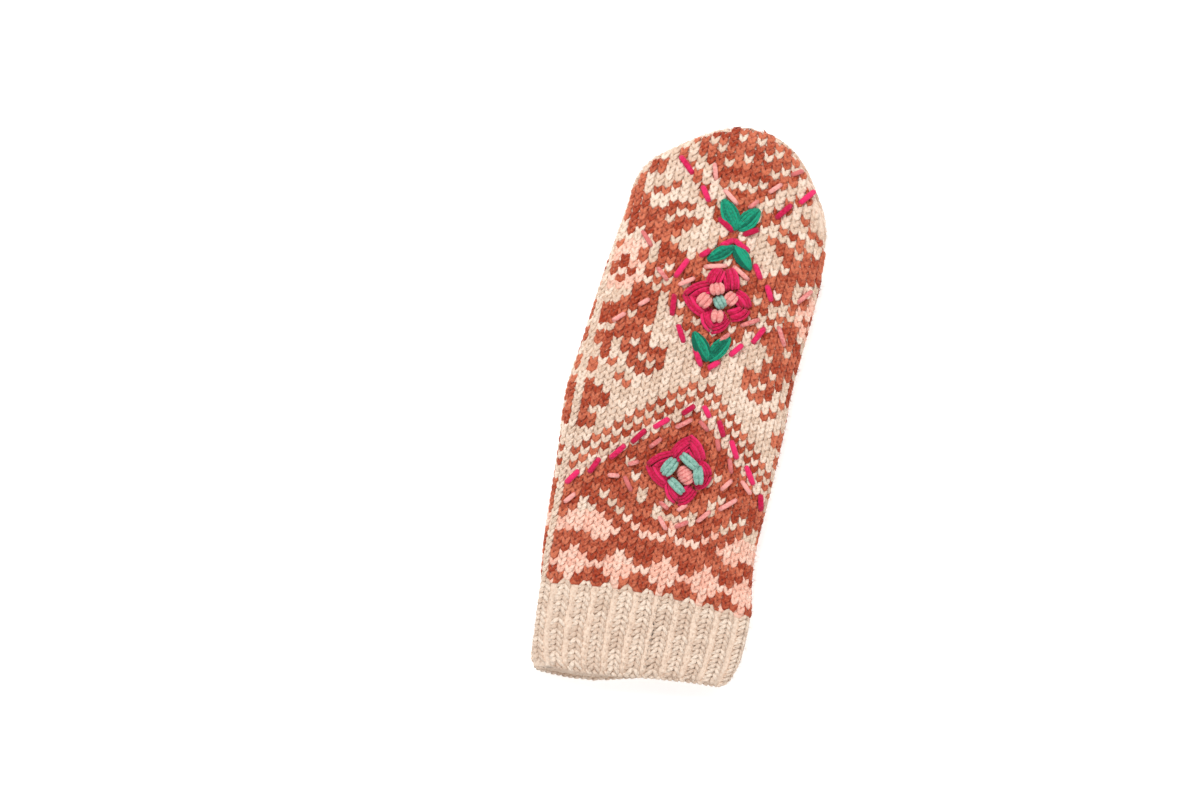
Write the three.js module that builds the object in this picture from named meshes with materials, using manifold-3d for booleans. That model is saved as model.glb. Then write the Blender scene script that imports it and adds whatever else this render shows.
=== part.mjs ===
// A knitted colourwork mitten with a ribbed cuff and wool embroidery on the back of the hand.
// It lies palm down, with its empty thumb folded flat between the palm and the table.
// Millimetres, +Z up, +Y towards the fingertips, +X to the little-finger side.
import * as THREE from 'three';
import { mergeVertices } from 'three/addons/utils/BufferGeometryUtils.js';
import Module from 'manifold-3d';

const wasm = await Module();
wasm.setup();

// Driving dimensions
const CLEARANCE = 0.35;
const HAND_LENGTH = 270.5;
const CUFF_LENGTH = 41;
const SIDE_HEIGHT = 7;
const HAND_WALL = 3.5;
const CUFF_WALL = 3.2;
const RIB_COUNT = 22;
const RIB_DEPTH = 1.3;
const THUMB_WALL = 2.8;
const THUMB = { x: -28, halfWidth: 16.5, base: 122, tip: 197.5, height: 11 };
const THUMB_HOLE = { x: -27.8, y: 135.5, halfWidth: 13.2, halfLength: 10.5, turn: 0.15 };

// Plan outline and crown height of cuff and hand together, one row for each station.
const OUTLINE = [
  { y: 0, left: -46.0, right: 44.2, crown: 17.0 },
  { y: 4, left: -48.0, right: 47.6, crown: 18.2 },
  { y: 14, left: -49.4, right: 51.2, crown: 18.6 },
  { y: 28, left: -50.6, right: 52.6, crown: 18.6 },
  { y: 41, left: -51.4, right: 52.2, crown: 18.6 },
  { y: 54, left: -53.2, right: 49.6, crown: 19.0 },
  { y: 72, left: -54.2, right: 47.9, crown: 19.4 },
  { y: 100, left: -55.4, right: 49.2, crown: 19.8 },
  { y: 129, left: -57.4, right: 50.3, crown: 20.0 },
  { y: 152, left: -54.8, right: 50.2, crown: 20.0 },
  { y: 178, left: -52.1, right: 51.6, crown: 20.0 },
  { y: 205, left: -48.8, right: 52.8, crown: 19.6 },
  { y: 222, left: -46.2, right: 51.0, crown: 19.0 },
  { y: 235, left: -43.6, right: 47.0, crown: 18.2 },
  { y: 246, left: -37.6, right: 41.0, crown: 17.6 },
  { y: 254, left: -27.4, right: 35.4, crown: 17.0 },
  { y: 261, left: -17.4, right: 28.8, crown: 16.5 },
  { y: 267, left: -8.0, right: 20.5, crown: 16.0 },
  { y: HAND_LENGTH, left: -0.5, right: 11.5, crown: 15.6 },
];

// Smooth value of one column of the outline, by cubic pieces through its rows.
function along(column, y) {
  const rows = OUTLINE;
  const last = rows.length - 2;
  let i = rows.findIndex((row) => row.y > y) - 1;
  i = i === -2 ? last : Math.max(0, i);
  const slope = (k) => {
    const before = rows[Math.max(0, k - 1)];
    const after = rows[Math.min(rows.length - 1, k + 1)];
    return (after[column] - before[column]) / (after.y - before.y);
  };
  const step = rows[i + 1].y - rows[i].y;
  const s = Math.min(1, Math.max(0, (y - rows[i].y) / step));
  const rise = s * s * (3 - 2 * s);
  return rows[i][column] * (1 - rise) + rows[i + 1][column] * rise
    + slope(i) * step * s * (1 - s) * (1 - s) - slope(i + 1) * step * s * s * (1 - s);
}

// 1 over the folded thumb, easing to 0 over a run outside its outline. Towards the cuff the
// thumb grows out of the palm, so there it eases over its own run.
function overThumb(x, y, runToThumbSide, run, runFrom, runTo) {
  const { smoothstep } = THREE.MathUtils;
  const upward = Math.max(0, y - (THUMB.tip - THUMB.halfWidth));
  const distance = Math.hypot(x - THUMB.x, upward);
  const toThumbSide = Math.max(0, (THUMB.x - x) / Math.max(1, distance));
  const edge = run + (runToThumbSide - run) * toThumbSide;
  const outside = distance - THUMB.halfWidth;
  return (1 - smoothstep(outside, 1.5, 1.5 + edge)) * smoothstep(y, runFrom, runTo);
}

// How far the folded thumb lifts the palm, and the softer hump that it makes in the back.
function palmLift(x, y) {
  const full = THUMB.height + 2 * CLEARANCE;
  return full * overThumb(x, y, 30, 17, THUMB.base - 9, THUMB.base + 15);
}

function backLift(x, y) {
  return 5.4 * overThumb(x, y, 44, 42, THUMB.base - 46, THUMB.base + 14);
}

// One closed ring of points round the flattened tube at y, set in from the outside by inset,
// evenly spaced by length, counted from the little-finger side over the back to the thumb side.
function ring(y, count, inset = 0, shape = () => 0) {
  const at = Math.min(y, HAND_LENGTH);
  const left = along('left', at + inset / 2) + inset;
  const right = along('right', at + inset / 2) - inset;
  const middle = (left + right) / 2;
  const half = Math.max(2.5, (right - left) / 2);
  const crown = along('crown', at);
  const TIP_ROUND = 20;
  const past = Math.max(0, (at - (HAND_LENGTH - inset - TIP_ROUND)) / TIP_ROUND);
  const flat = Math.max(0.35, Math.sqrt(Math.max(0, 1 - past * past)));
  const BACK_POWER = 2 / 2.7;
  const PALM_POWER = 2 / 3.6;
  const fine = [];
  const FINE = 720;
  for (let i = 0; i < FINE; i += 1) {
    const angle = (i / FINE) * 2 * Math.PI;
    const power = Math.sin(angle) >= 0 ? BACK_POWER : PALM_POWER;
    const c = Math.sign(Math.cos(angle)) * Math.abs(Math.cos(angle)) ** power;
    const s = Math.abs(Math.sin(angle)) ** power;
    const back = SIDE_HEIGHT + (crown - SIDE_HEIGHT - inset) * s * flat;
    const palm = SIDE_HEIGHT - (SIDE_HEIGHT + 0.8 - inset) * s * (past > 0 ? flat : 1);
    const z = Math.sin(angle) >= 0 ? back : Math.max(inset, palm);
    fine.push(new THREE.Vector2(middle + half * c, z));
  }
  const lengths = [0];
  for (let i = 0; i < FINE; i += 1) {
    lengths.push(lengths[i] + fine[i].distanceTo(fine[(i + 1) % FINE]));
  }
  const total = lengths[FINE];
  const points = [];
  let i = 0;
  for (let k = 0; k < count; k += 1) {
    const target = (k / count) * total;
    while (lengths[i + 1] < target) i += 1;
    const from = fine[i];
    const to = fine[(i + 1) % FINE];
    const share = (target - lengths[i]) / Math.max(1e-9, lengths[i + 1] - lengths[i]);
    const point = from.clone().lerp(to, share);
    const outward = new THREE.Vector2(to.y - from.y, from.x - to.x).normalize();
    point.addScaledVector(outward, shape(k / count));
    const wall = HAND_WALL;
    const rise = THREE.MathUtils.clamp((point.y - wall) / (crown - 2 * wall), 0, 1);
    const z = Math.max(0, point.y)
      + palmLift(point.x, y) * (1 - rise) + backLift(point.x, y) * rise;
    points.push(new THREE.Vector3(point.x, y, z));
  }
  return points;
}

// The faces between two neighbouring rings of count points, given by their first points.
function band(count, ring1, ring2) {
  const faces = [];
  for (let k = 0; k < count; k += 1) {
    const next = (k + 1) % count;
    faces.push([ring1 + k, ring1 + next, ring2 + next], [ring1 + k, ring2 + next, ring2 + k]);
  }
  return faces;
}

// An open tube: up through the outer rings, over the rim and down through the inner ones.
function tube(outer, inner) {
  const rings = [...outer, ...inner.toReversed()];
  const count = rings[0].length;
  const faces = rings.flatMap((_, r) => band(count, r * count, ((r + 1) % rings.length) * count));
  return solidOf(rings.flat(), faces);
}

// A closed solid through a row of rings with equal counts, its two ends capped by fans.
function loft(rings) {
  const count = rings[0].length;
  const vertices = rings.flat();
  const faces = rings.slice(1).flatMap((_, r) => band(count, r * count, (r + 1) * count));
  const cap = (start, flip) => {
    const middle = new THREE.Vector3();
    for (let k = 0; k < count; k += 1) middle.addScaledVector(vertices[start + k], 1 / count);
    vertices.push(middle);
    for (let k = 0; k < count; k += 1) {
      const pair = [start + k, start + ((k + 1) % count)];
      if (flip) pair.reverse();
      faces.push([vertices.length - 1, pair[0], pair[1]]);
    }
  };
  cap((rings.length - 1) * count, false);
  cap(0, true);
  return solidOf(vertices, faces);
}

// Points and triangles as a solid, turned the right way out if they come inside out.
function solidOf(vertices, faces) {
  const make = (list) => new wasm.Manifold(new wasm.Mesh({
    numProp: 3,
    vertProperties: new Float32Array(vertices.flatMap((v) => [v.x, v.y, v.z])),
    triVerts: new Uint32Array(list.flat()),
  }));
  const solid = make(faces);
  return solid.volume() > 0 ? solid : make(faces.map(([a, b, c]) => [a, c, b]));
}

// A three.js geometry as a solid.
function solidFrom(geometry) {
  const bare = geometry.clone();
  bare.deleteAttribute('normal');
  bare.deleteAttribute('uv');
  const merged = mergeVertices(bare, 1e-4);
  const at = merged.getAttribute('position');
  const vertices = [];
  for (let i = 0; i < at.count; i += 1) {
    vertices.push(new THREE.Vector3().fromBufferAttribute(at, i));
  }
  const index = Array.from(merged.getIndex().array);
  const faces = [];
  for (let i = 0; i < index.length; i += 3) faces.push(index.slice(i, i + 3));
  return solidOf(vertices, faces);
}

function meshFrom(name, solid, material) {
  const { numProp, vertProperties, triVerts } = solid.getMesh();
  const positions = [];
  for (let i = 0; i < vertProperties.length; i += numProp) {
    positions.push(vertProperties[i], vertProperties[i + 1], vertProperties[i + 2]);
  }
  const geometry = new THREE.BufferGeometry();
  geometry.setAttribute('position', new THREE.Float32BufferAttribute(positions, 3));
  geometry.setIndex(Array.from(triVerts));
  geometry.computeVertexNormals();
  const mesh = new THREE.Mesh(geometry, material);
  mesh.name = name;
  return mesh;
}

const wool = (color) => new THREE.MeshStandardMaterial({ color, roughness: 0.95, metalness: 0 });
const RUST = wool(0xbe5c3e);
const CREAM = wool(0xe5cfb8);
const MAGENTA = wool(0xc81b5e);
const GREEN = wool(0x0e9a78);
const PINK = wool(0xf09a98);
const AQUA = wool(0x8fbfb0);

// Stations between two ends, closing up towards the far end by the given power.
function stations(from, to, steps, power) {
  return Array.from({ length: steps + 1 }, (_, k) => (
    from + (to - from) * (1 - (1 - k / steps) ** power)
  ));
}

// The hole in the palm where the thumb is picked up, and the mouth of the thumb under it.
function thumbHole(margin) {
  const { x, y, halfWidth, halfLength, turn } = THUMB_HOLE;
  const SIDES = 18;
  const TALL = 14;
  const plug = new THREE.CylinderGeometry(1, 1, TALL, SIDES);
  plug.rotateX(Math.PI / 2);
  plug.scale(halfWidth + margin, halfLength + margin, 1);
  plug.rotateZ(turn);
  plug.translate(x, y, THUMB_WALL + CLEARANCE + TALL / 2);
  return solidFrom(plug);
}

// Hand: one knitted bag, rounded at the fingertips and open at the wrist and at the thumb.
function handOuter() {
  return loft(stations(CUFF_LENGTH + CLEARANCE, HAND_LENGTH, 26, 1.5).map((y) => ring(y, 52)));
}

function hand(outer) {
  const inner = loft(stations(CUFF_LENGTH - 3, HAND_LENGTH - HAND_WALL, 20, 1.4)
    .map((y) => ring(y, 34, HAND_WALL)));
  return meshFrom('hand', outer.subtract(inner).subtract(thumbHole(0.6)), RUST);
}

// Cuff: a knitted tube in single rib, whose ribs and grooves run through the whole wall.
// Its cast-off edge runs slightly askew and tucks in.
function cuff() {
  const POINTS_PER_RIB = 4;
  const count = RIB_COUNT * POINTS_PER_RIB;
  const rib = (share) => {
    const phase = (share * count) % POINTS_PER_RIB;
    return phase < POINTS_PER_RIB / 2 - 0.5 ? 0 : -RIB_DEPTH;
  };
  const askew = (point) => {
    const fade = Math.max(0, 1 - point.y / CUFF_LENGTH);
    point.y += fade * (1.2 + 3 * Math.sin((Math.PI * (point.x - 2)) / 72));
    return point;
  };
  const outer = [0, 1.5, 5, 14, 26, CUFF_LENGTH]
    .map((y) => ring(y, count, 0, rib).map(askew));
  const inner = [0, 6, 22, CUFF_LENGTH]
    .map((y) => ring(y, count, CUFF_WALL, rib).map(askew));
  return meshFrom('ribbed_cuff', tube(outer, inner), CREAM);
}

// Thumb: a plain knitted bag lying flat on the table. It grows out of the palm, whose
// underside trims its root, and it opens upwards into the hand.
function thumb(handSolid) {
  const bag = (inset, steps, count) => {
    const half = (THUMB.tip - THUMB.base) / 2;
    const middle = (THUMB.tip + THUMB.base) / 2;
    const END = 0.985;
    const rings = [];
    for (let k = 0; k <= steps; k += 1) {
      const reach = -END * Math.cos((Math.PI * k) / steps);
      const power = reach < 0 ? 5 : 2.7;
      const round = (1 - Math.abs(reach) ** power) ** (1 / power);
      const points = [];
      for (let i = 0; i < count; i += 1) {
        const angle = (i / count) * 2 * Math.PI;
        const c = Math.sign(Math.cos(angle)) * Math.abs(Math.cos(angle)) ** 0.7;
        const s = Math.sign(Math.sin(angle)) * Math.abs(Math.sin(angle)) ** 0.5;
        const rise = (THUMB.height / 2 - inset + (s < 0 ? 0.4 : 0)) * s * Math.sqrt(round);
        points.push(new THREE.Vector3(
          THUMB.x + (THUMB.halfWidth - inset) * c * round,
          middle + (half - inset) * reach,
          Math.max(inset, THUMB.height / 2 + rise),
        ));
      }
      rings.push(points);
    }
    return loft(rings);
  };
  const solid = bag(0, 14, 24).subtract(bag(THUMB_WALL, 11, 18))
    .subtract(handSolid.translate([0, 0, -CLEARANCE]))
    .subtract(thumbHole(-0.4));
  return meshFrom('thumb', solid, CREAM);
}

// Height at a point of the highest of these meshes, read off their facets from above.
function heightOf(meshes, x, y) {
  const ray = new THREE.Raycaster(new THREE.Vector3(x, y, 100), new THREE.Vector3(0, 0, -1));
  return ray.intersectObjects(meshes)[0].point.z;
}

// A low pad of satin stitch on the back of the hand. place(s, t) gives its plan for s and t
// from 0 to 1, and rise(s, t) its thickness there.
function pad(name, skin, material, alongCount, acrossCount, place, rise) {
  const vertices = [];
  const faces = [];
  const row = acrossCount + 1;
  const layer = (alongCount + 1) * row;
  for (const top of [true, false]) {
    for (let i = 0; i <= alongCount; i += 1) {
      for (let j = 0; j <= acrossCount; j += 1) {
        const { x, y } = place(i / alongCount, j / acrossCount);
        const base = heightOf([skin], x, y) + CLEARANCE;
        const lift = top ? rise(i / alongCount, j / acrossCount) : 0;
        vertices.push(new THREE.Vector3(x, y, base + lift));
      }
    }
  }
  const quad = (a, b, c, d) => faces.push([a, b, c], [a, c, d]);
  for (let i = 0; i < alongCount; i += 1) {
    for (let j = 0; j < acrossCount; j += 1) {
      const a = i * row + j;
      quad(a, a + row, a + row + 1, a + 1);
      quad(layer + a, layer + a + 1, layer + a + row + 1, layer + a + row);
    }
    const left = i * row;
    const right = i * row + acrossCount;
    quad(left, layer + left, layer + left + row, left + row);
    quad(right, right + row, layer + right + row, layer + right);
  }
  for (let j = 0; j < acrossCount; j += 1) {
    const far = alongCount * row + j;
    quad(j, j + 1, layer + j + 1, layer + j);
    quad(far, layer + far, layer + far + 1, far + 1);
  }
  return meshFrom(name, solidOf(vertices, faces), material);
}

// A satin petal with two lobes, set round the flower's middle.
function petal(name, skin, flower, row) {
  const INNER = 3.2;
  const EDGE = 0.5;
  const place = (s, t) => {
    const share = 2 * t - 1;
    const angle = row.turn + share * row.spread;
    const reach = row.notch
      + (row.reach - row.notch) * Math.cos((share * Math.PI) / 2.15) ** 0.6
      - 0.9 * Math.exp(-((share / 0.16) ** 2));
    const radius = INNER + (reach - INNER) * s;
    return {
      x: flower.x + radius * Math.cos(angle),
      y: flower.y + radius * Math.sin(angle),
    };
  };
  const rise = (s, t) => {
    const share = 2 * t - 1;
    const lobes = Math.sqrt(Math.max(0, 1 - share ** 4)) * (1 - 0.35 * Math.exp(-((share / 0.2) ** 2)));
    return EDGE + 1.5 * Math.sin(Math.PI * s ** 1.9) * lobes;
  };
  return pad(name, skin, MAGENTA, 5, 8, place, rise);
}

// A pointed satin leaf from its root to its tip.
function leaf(name, skin, row) {
  const EDGE = 0.45;
  const span = new THREE.Vector2(row.tipX - row.x, row.tipY - row.y);
  const side = new THREE.Vector2(-span.y, span.x).normalize();
  const START = 0.08;
  const place = (s, t) => {
    const reach = START + (1 - START) * s;
    const half = 0.25 + row.halfWidth * Math.sin(Math.PI * s ** 0.9) ** 0.8;
    return {
      x: row.x + span.x * reach + side.x * half * (2 * t - 1),
      y: row.y + span.y * reach + side.y * half * (2 * t - 1),
    };
  };
  const rise = (s, t) => EDGE + 1.3 * Math.sin(Math.PI * s) * (1 - (2 * t - 1) ** 2);
  return pad(name, skin, GREEN, 6, 4, place, rise);
}

// A knot or a wrapped bar of yarn, lowered onto the petals and the knitting under it.
function knot(name, under, material, row) {
  const shape = new THREE.SphereGeometry(1, 10, 6);
  shape.rotateX(Math.PI / 2);
  shape.scale(row.length / 2, row.width / 2, row.height / 2);
  shape.rotateZ(row.turn);
  const AROUND = 12;
  let z = 0;
  for (const reach of [0, 0.3, 0.6, 0.85, 1]) {
    for (let k = 0; k < AROUND; k += 1) {
      const angle = (k / AROUND) * 2 * Math.PI;
      const spot = new THREE.Vector2(
        (reach * row.length * Math.cos(angle)) / 2,
        (reach * row.width * Math.sin(angle)) / 2,
      ).rotateAround(new THREE.Vector2(), row.turn);
      const belly = (row.height / 2) * Math.sqrt(1 - reach * reach);
      z = Math.max(z, heightOf(under, row.x + spot.x, row.y + spot.y) + CLEARANCE + belly);
    }
  }
  shape.translate(row.x, row.y, z);
  return meshFrom(name, solidFrom(shape), material);
}

const degrees = THREE.MathUtils.degToRad;

// Upper flower, on the middle diamond: four petals, four pink knots and an aqua eye.
const UPPER_FLOWER = { x: 7.2, y: 184.4 };
const UPPER_PETALS = [
  { name: 'fingertip', turn: degrees(94), spread: degrees(42), reach: 17.0, notch: 10.4 },
  { name: 'thumb_side', turn: degrees(180), spread: degrees(42), reach: 17.4, notch: 11.0 },
  { name: 'cuff_side', turn: degrees(264), spread: degrees(40), reach: 15.6, notch: 9.2 },
  { name: 'outer_side', turn: degrees(-1), spread: degrees(43), reach: 15.6, notch: 9.6 },
];
const UPPER_KNOTS = [
  { name: 'fingertip', x: 4.7, y: 190.2, length: 7.4, width: 5.6 },
  { name: 'thumb_side', x: -0.6, y: 183.6, length: 7.0, width: 6.6 },
  { name: 'cuff_side', x: 7.2, y: 177.6, length: 6.6, width: 6.4 },
  { name: 'outer_side', x: 12.9, y: 187.0, length: 6.8, width: 6.4 },
];

// Lower flower, on the large diamond: four petals, four aqua bars and a pink middle.
const LOWER_FLOWER = { x: 6.7, y: 101.4 };
const LOWER_PETALS = [
  { name: 'fingertip', turn: degrees(93), spread: degrees(42), reach: 17.6, notch: 11.2 },
  { name: 'thumb_side', turn: degrees(179), spread: degrees(42), reach: 18.0, notch: 11.4 },
  { name: 'cuff_side', turn: degrees(266), spread: degrees(42), reach: 15.0, notch: 9.6 },
  { name: 'outer_side', turn: degrees(5), spread: degrees(44), reach: 13.0, notch: 9.0 },
];
const LOWER_BARS = [
  { name: 'fingertip', x: 7.5, y: 107.4, length: 9.0, width: 4.2, turn: degrees(-27) },
  { name: 'thumb_side', x: -1.3, y: 103.0, length: 8.6, width: 6.2, turn: degrees(62) },
  { name: 'cuff_side', x: 3.0, y: 94.8, length: 9.0, width: 4.0, turn: degrees(-30) },
  { name: 'outer_side', x: 14.2, y: 101.8, length: 8.4, width: 4.8, turn: degrees(100) },
];

const LEAVES = [
  { name: 'top_leaf_left', x: 7.6, y: 220.0, tipX: -1.4, tipY: 233.2, halfWidth: 3.1 },
  { name: 'top_leaf_right', x: 8.4, y: 220.0, tipX: 17.2, tipY: 231.4, halfWidth: 3.3 },
  { name: 'middle_leaf_left', x: 7.2, y: 212.2, tipX: -3.4, tipY: 203.2, halfWidth: 2.7 },
  { name: 'middle_leaf_right', x: 8.0, y: 212.2, tipX: 17.6, tipY: 202.2, halfWidth: 2.9 },
  { name: 'low_leaf_left', x: 6.4, y: 156.2, tipX: -2.4, tipY: 168.2, halfWidth: 2.8 },
  { name: 'low_leaf_right', x: 7.2, y: 156.2, tipX: 14.8, tipY: 169.4, halfWidth: 2.8 },
];

const outer = handOuter();
const skin = meshFrom('skin', outer, RUST);
const mitten = new THREE.Group();
mitten.add(hand(outer), cuff(), thumb(outer));

const upperPetals = UPPER_PETALS.map((row) => (
  petal(`upper_petal_${row.name}`, skin, UPPER_FLOWER, row)
));
const underUpper = [skin, ...upperPetals];
const upperKnots = UPPER_KNOTS.map((row) => (
  knot(`upper_knot_${row.name}`, underUpper, PINK, { ...row, height: 3.2, turn: 0 })
));
const eye = knot('upper_eye', underUpper, AQUA, {
  ...UPPER_FLOWER, length: 5.6, width: 5.4, height: 3.0, turn: 0,
});
mitten.add(...upperPetals, ...upperKnots, eye);

const lowerPetals = LOWER_PETALS.map((row) => (
  petal(`lower_petal_${row.name}`, skin, LOWER_FLOWER, row)
));
const underLower = [skin, ...lowerPetals];
const lowerBars = LOWER_BARS.map((row) => (
  knot(`lower_bar_${row.name}`, underLower, AQUA, { ...row, height: 2.8 })
));
const lowerMiddle = knot('lower_middle', underLower, PINK, {
  x: 7.0, y: 100.6, length: 8.6, width: 6.0, height: 3.4, turn: degrees(-35),
});
mitten.add(...lowerPetals, ...lowerBars, lowerMiddle);
mitten.add(...LEAVES.map((row) => leaf(row.name, skin, row)));

// The origin is the middle of the mitten's own box, on the table.
const box = new THREE.Box3().setFromObject(mitten);
const middle = box.getCenter(new THREE.Vector3());
mitten.position.set(-middle.x, -middle.y, -box.min.z);

export default mitten;
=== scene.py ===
import math

import bmesh
import bpy
import numpy as np
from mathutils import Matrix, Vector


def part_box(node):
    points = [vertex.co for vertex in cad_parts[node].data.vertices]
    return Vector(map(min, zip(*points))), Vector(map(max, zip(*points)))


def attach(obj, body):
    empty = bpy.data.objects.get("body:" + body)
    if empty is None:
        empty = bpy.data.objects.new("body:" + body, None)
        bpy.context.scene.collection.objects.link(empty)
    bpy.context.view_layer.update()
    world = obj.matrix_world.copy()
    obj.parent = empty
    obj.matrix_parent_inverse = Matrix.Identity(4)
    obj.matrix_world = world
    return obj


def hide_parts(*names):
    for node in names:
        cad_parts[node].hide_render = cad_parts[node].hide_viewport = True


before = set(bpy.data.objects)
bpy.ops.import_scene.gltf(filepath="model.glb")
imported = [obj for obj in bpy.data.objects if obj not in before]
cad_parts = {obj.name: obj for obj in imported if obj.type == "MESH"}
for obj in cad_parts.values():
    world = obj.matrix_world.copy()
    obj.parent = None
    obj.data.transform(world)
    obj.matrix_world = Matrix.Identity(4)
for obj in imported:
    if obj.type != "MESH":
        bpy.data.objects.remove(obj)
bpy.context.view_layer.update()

MM = 0.001
scene = bpy.context.scene

# The mitten lies palm down on a plain white table and is seen from straight above, turned a
# little clockwise, in the soft light of a pale studio with a large soft box at its upper left.
# One pixel of the 1200 x 800 image is 0.478 mm on the table.
PIXEL = 0.478 * MM
IMAGE_WIDTH = 1200
VIEW_CENTRE = (-0.03765, -0.0069)
VIEW_TURN = math.radians(11.65)
SUBJECT_HEIGHT = 0.015

camera = bpy.data.objects.new("camera", bpy.data.cameras.new("camera"))
camera.data.lens = 85
camera.data.sensor_width = 36
camera.data.clip_start = 0.01
distance = PIXEL * IMAGE_WIDTH * camera.data.lens / camera.data.sensor_width
camera.location = (*VIEW_CENTRE, SUBJECT_HEIGHT + distance)
camera.rotation_euler = (0, 0, VIEW_TURN)
scene.collection.objects.link(camera)
scene.camera = camera


def fill(tree, node, sockets):
    """Give a node's sockets their values, or link them to the sockets of other nodes."""
    for key, value in sockets.items():
        if isinstance(value, bpy.types.NodeSocket):
            tree.links.new(value, node.inputs[key])
        else:
            node.inputs[key].default_value = value


scene.view_settings.view_transform = "Standard"
scene.world = bpy.data.worlds.new("white studio")
scene.world.use_nodes = True
surround = scene.world.node_tree
fill(surround, surround.nodes["Background"], {"Color": (1.0, 0.985, 0.965, 1), "Strength": 0.62})

for name, place, width, power in (
    ("high soft box", (-0.55, 0.75, 1.15), 0.55, 13.0),
    ("fill soft box", (0.9, -0.5, 1.0), 0.9, 5.0),
):
    lamp = bpy.data.objects.new(name, bpy.data.lights.new(name, "AREA"))
    lamp.data.size = width
    lamp.data.energy = power
    lamp.location = place
    aim = -np.array(place)
    lamp.rotation_euler = (
        math.acos(-aim[2] / np.linalg.norm(aim)), 0, math.atan2(-aim[0], aim[1])
    )
    scene.collection.objects.link(lamp)

bpy.ops.mesh.primitive_plane_add(size=4)
table = bpy.context.object
table.name = "white_table"
paper = bpy.data.materials.new("matt white paper")
paper.use_nodes = True
fill(paper.node_tree, paper.node_tree.nodes["Principled BSDF"], {
    "Base Color": (0.93, 0.93, 0.93, 1), "Roughness": 0.9,
    "Emission Color": (1, 1, 1, 1), "Emission Strength": 0.35,
})
table.data.materials.append(paper)

# Ribbed cuff: a single-rib tube in cream wool, cast off at the wrist and knitted on into the hand.
# Its ribs stand proud and its purl grooves sink, over a closed ground of the same wool and under a
# fine fuzz. All the knitting is laid flat, in rows, and wrapped on the mitten's own skin.

# The mitten is drawn in its own millimetres, from the cuff's edge up, and shifted into the frame
SHIFT = np.array((2.284, -134.35, 0.0))
HAND_LENGTH = 270.5
CUFF_LENGTH = 41.0
HAND_WALL = 3.5
# Height over the table at which it is widest
SIDE_HEIGHT = 7.0
# The folded thumb lifts the palm and makes a hump in the back. Each slope round it has its run
# outward and elsewhere, and rises from one length to another, counted from the thumb's base
THUMB = {"x": -28.0, "half_width": 16.5, "base": 122.0, "tip": 197.5, "height": 11.0}
THUMB_LIFT, THUMB_SLOPE = THUMB["height"] + 0.7, (30, 17, -9, 15)
HUMP, HUMP_SLOPE = 5.4, (44, 42, -46, 14)
SLOPE_START = 1.5

# Plan outline and crown height, in millimetres from the cuff: y, left, right, crown
OUTLINE = np.array((
    (0, -46.4, 45.4, 17.0),
    (4, -48.2, 48.9, 18.2),
    (14, -49.4, 52.0, 18.6),
    (28, -50.6, 53.0, 18.6),
    (41, -51.4, 52.7, 18.6),
    (54, -53.2, 50.2, 19.0),
    (72, -54.2, 48.6, 19.4),
    (100, -55.4, 49.8, 19.8),
    (129, -57.4, 50.4, 20.0),
    (152, -54.8, 50.2, 20.0),
    (178, -52.1, 51.9, 20.0),
    (205, -48.8, 53.2, 19.6),
    (222, -46.4, 52.4, 19.0),
    (235, -45.0, 48.8, 18.2),
    (246, -39.4, 42.6, 17.6),
    (254, -29.6, 37.2, 17.0),
    (261, -19.8, 31.0, 16.5),
    (267, -9.6, 22.4, 16.0),
    (HAND_LENGTH, -1.2, 12.2, 15.6),
))
# x of the middle column of stitches
CENTRE_X = 6.2


def along(column, y):
    """Smooth value of one column of the outline at y."""
    at, value = OUTLINE[:, 0], OUTLINE[:, column]
    k = np.arange(len(at))
    before, after = np.maximum(k - 1, 0), np.minimum(k + 1, len(at) - 1)
    slope = (value[after] - value[before]) / (at[after] - at[before])
    i = np.clip(np.searchsorted(at, y, side="right") - 1, 0, len(at) - 2)
    step = at[i + 1] - at[i]
    s = np.clip((y - at[i]) / step, 0, 1)
    rise = s * s * (3 - 2 * s)
    return (
        value[i] * (1 - rise) + value[i + 1] * rise
        + slope[i] * step * s * (1 - s) ** 2 - slope[i + 1] * step * s * s * (1 - s)
    )


def smoothstep(value, low, high):
    """0 up to low and 1 from high, with a smooth rise between them."""
    s = np.clip((value - low) / (high - low), 0, 1)
    return s * s * (3 - 2 * s)


def over_thumb(x, y, slope):
    """1 over the folded thumb, easing to 0 round it."""
    run_outward, run, rise_from, rise_to = slope
    upward = np.maximum(0, y - (THUMB["tip"] - THUMB["half_width"]))
    away = np.hypot(x - THUMB["x"], upward)
    outward = np.maximum(0, (THUMB["x"] - x) / np.maximum(1, away))
    edge = run + (run_outward - run) * outward
    beside = 1 - smoothstep(away - THUMB["half_width"], SLOPE_START, SLOPE_START + edge)
    return beside * smoothstep(y, THUMB["base"] + rise_from, THUMB["base"] + rise_to)


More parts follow.
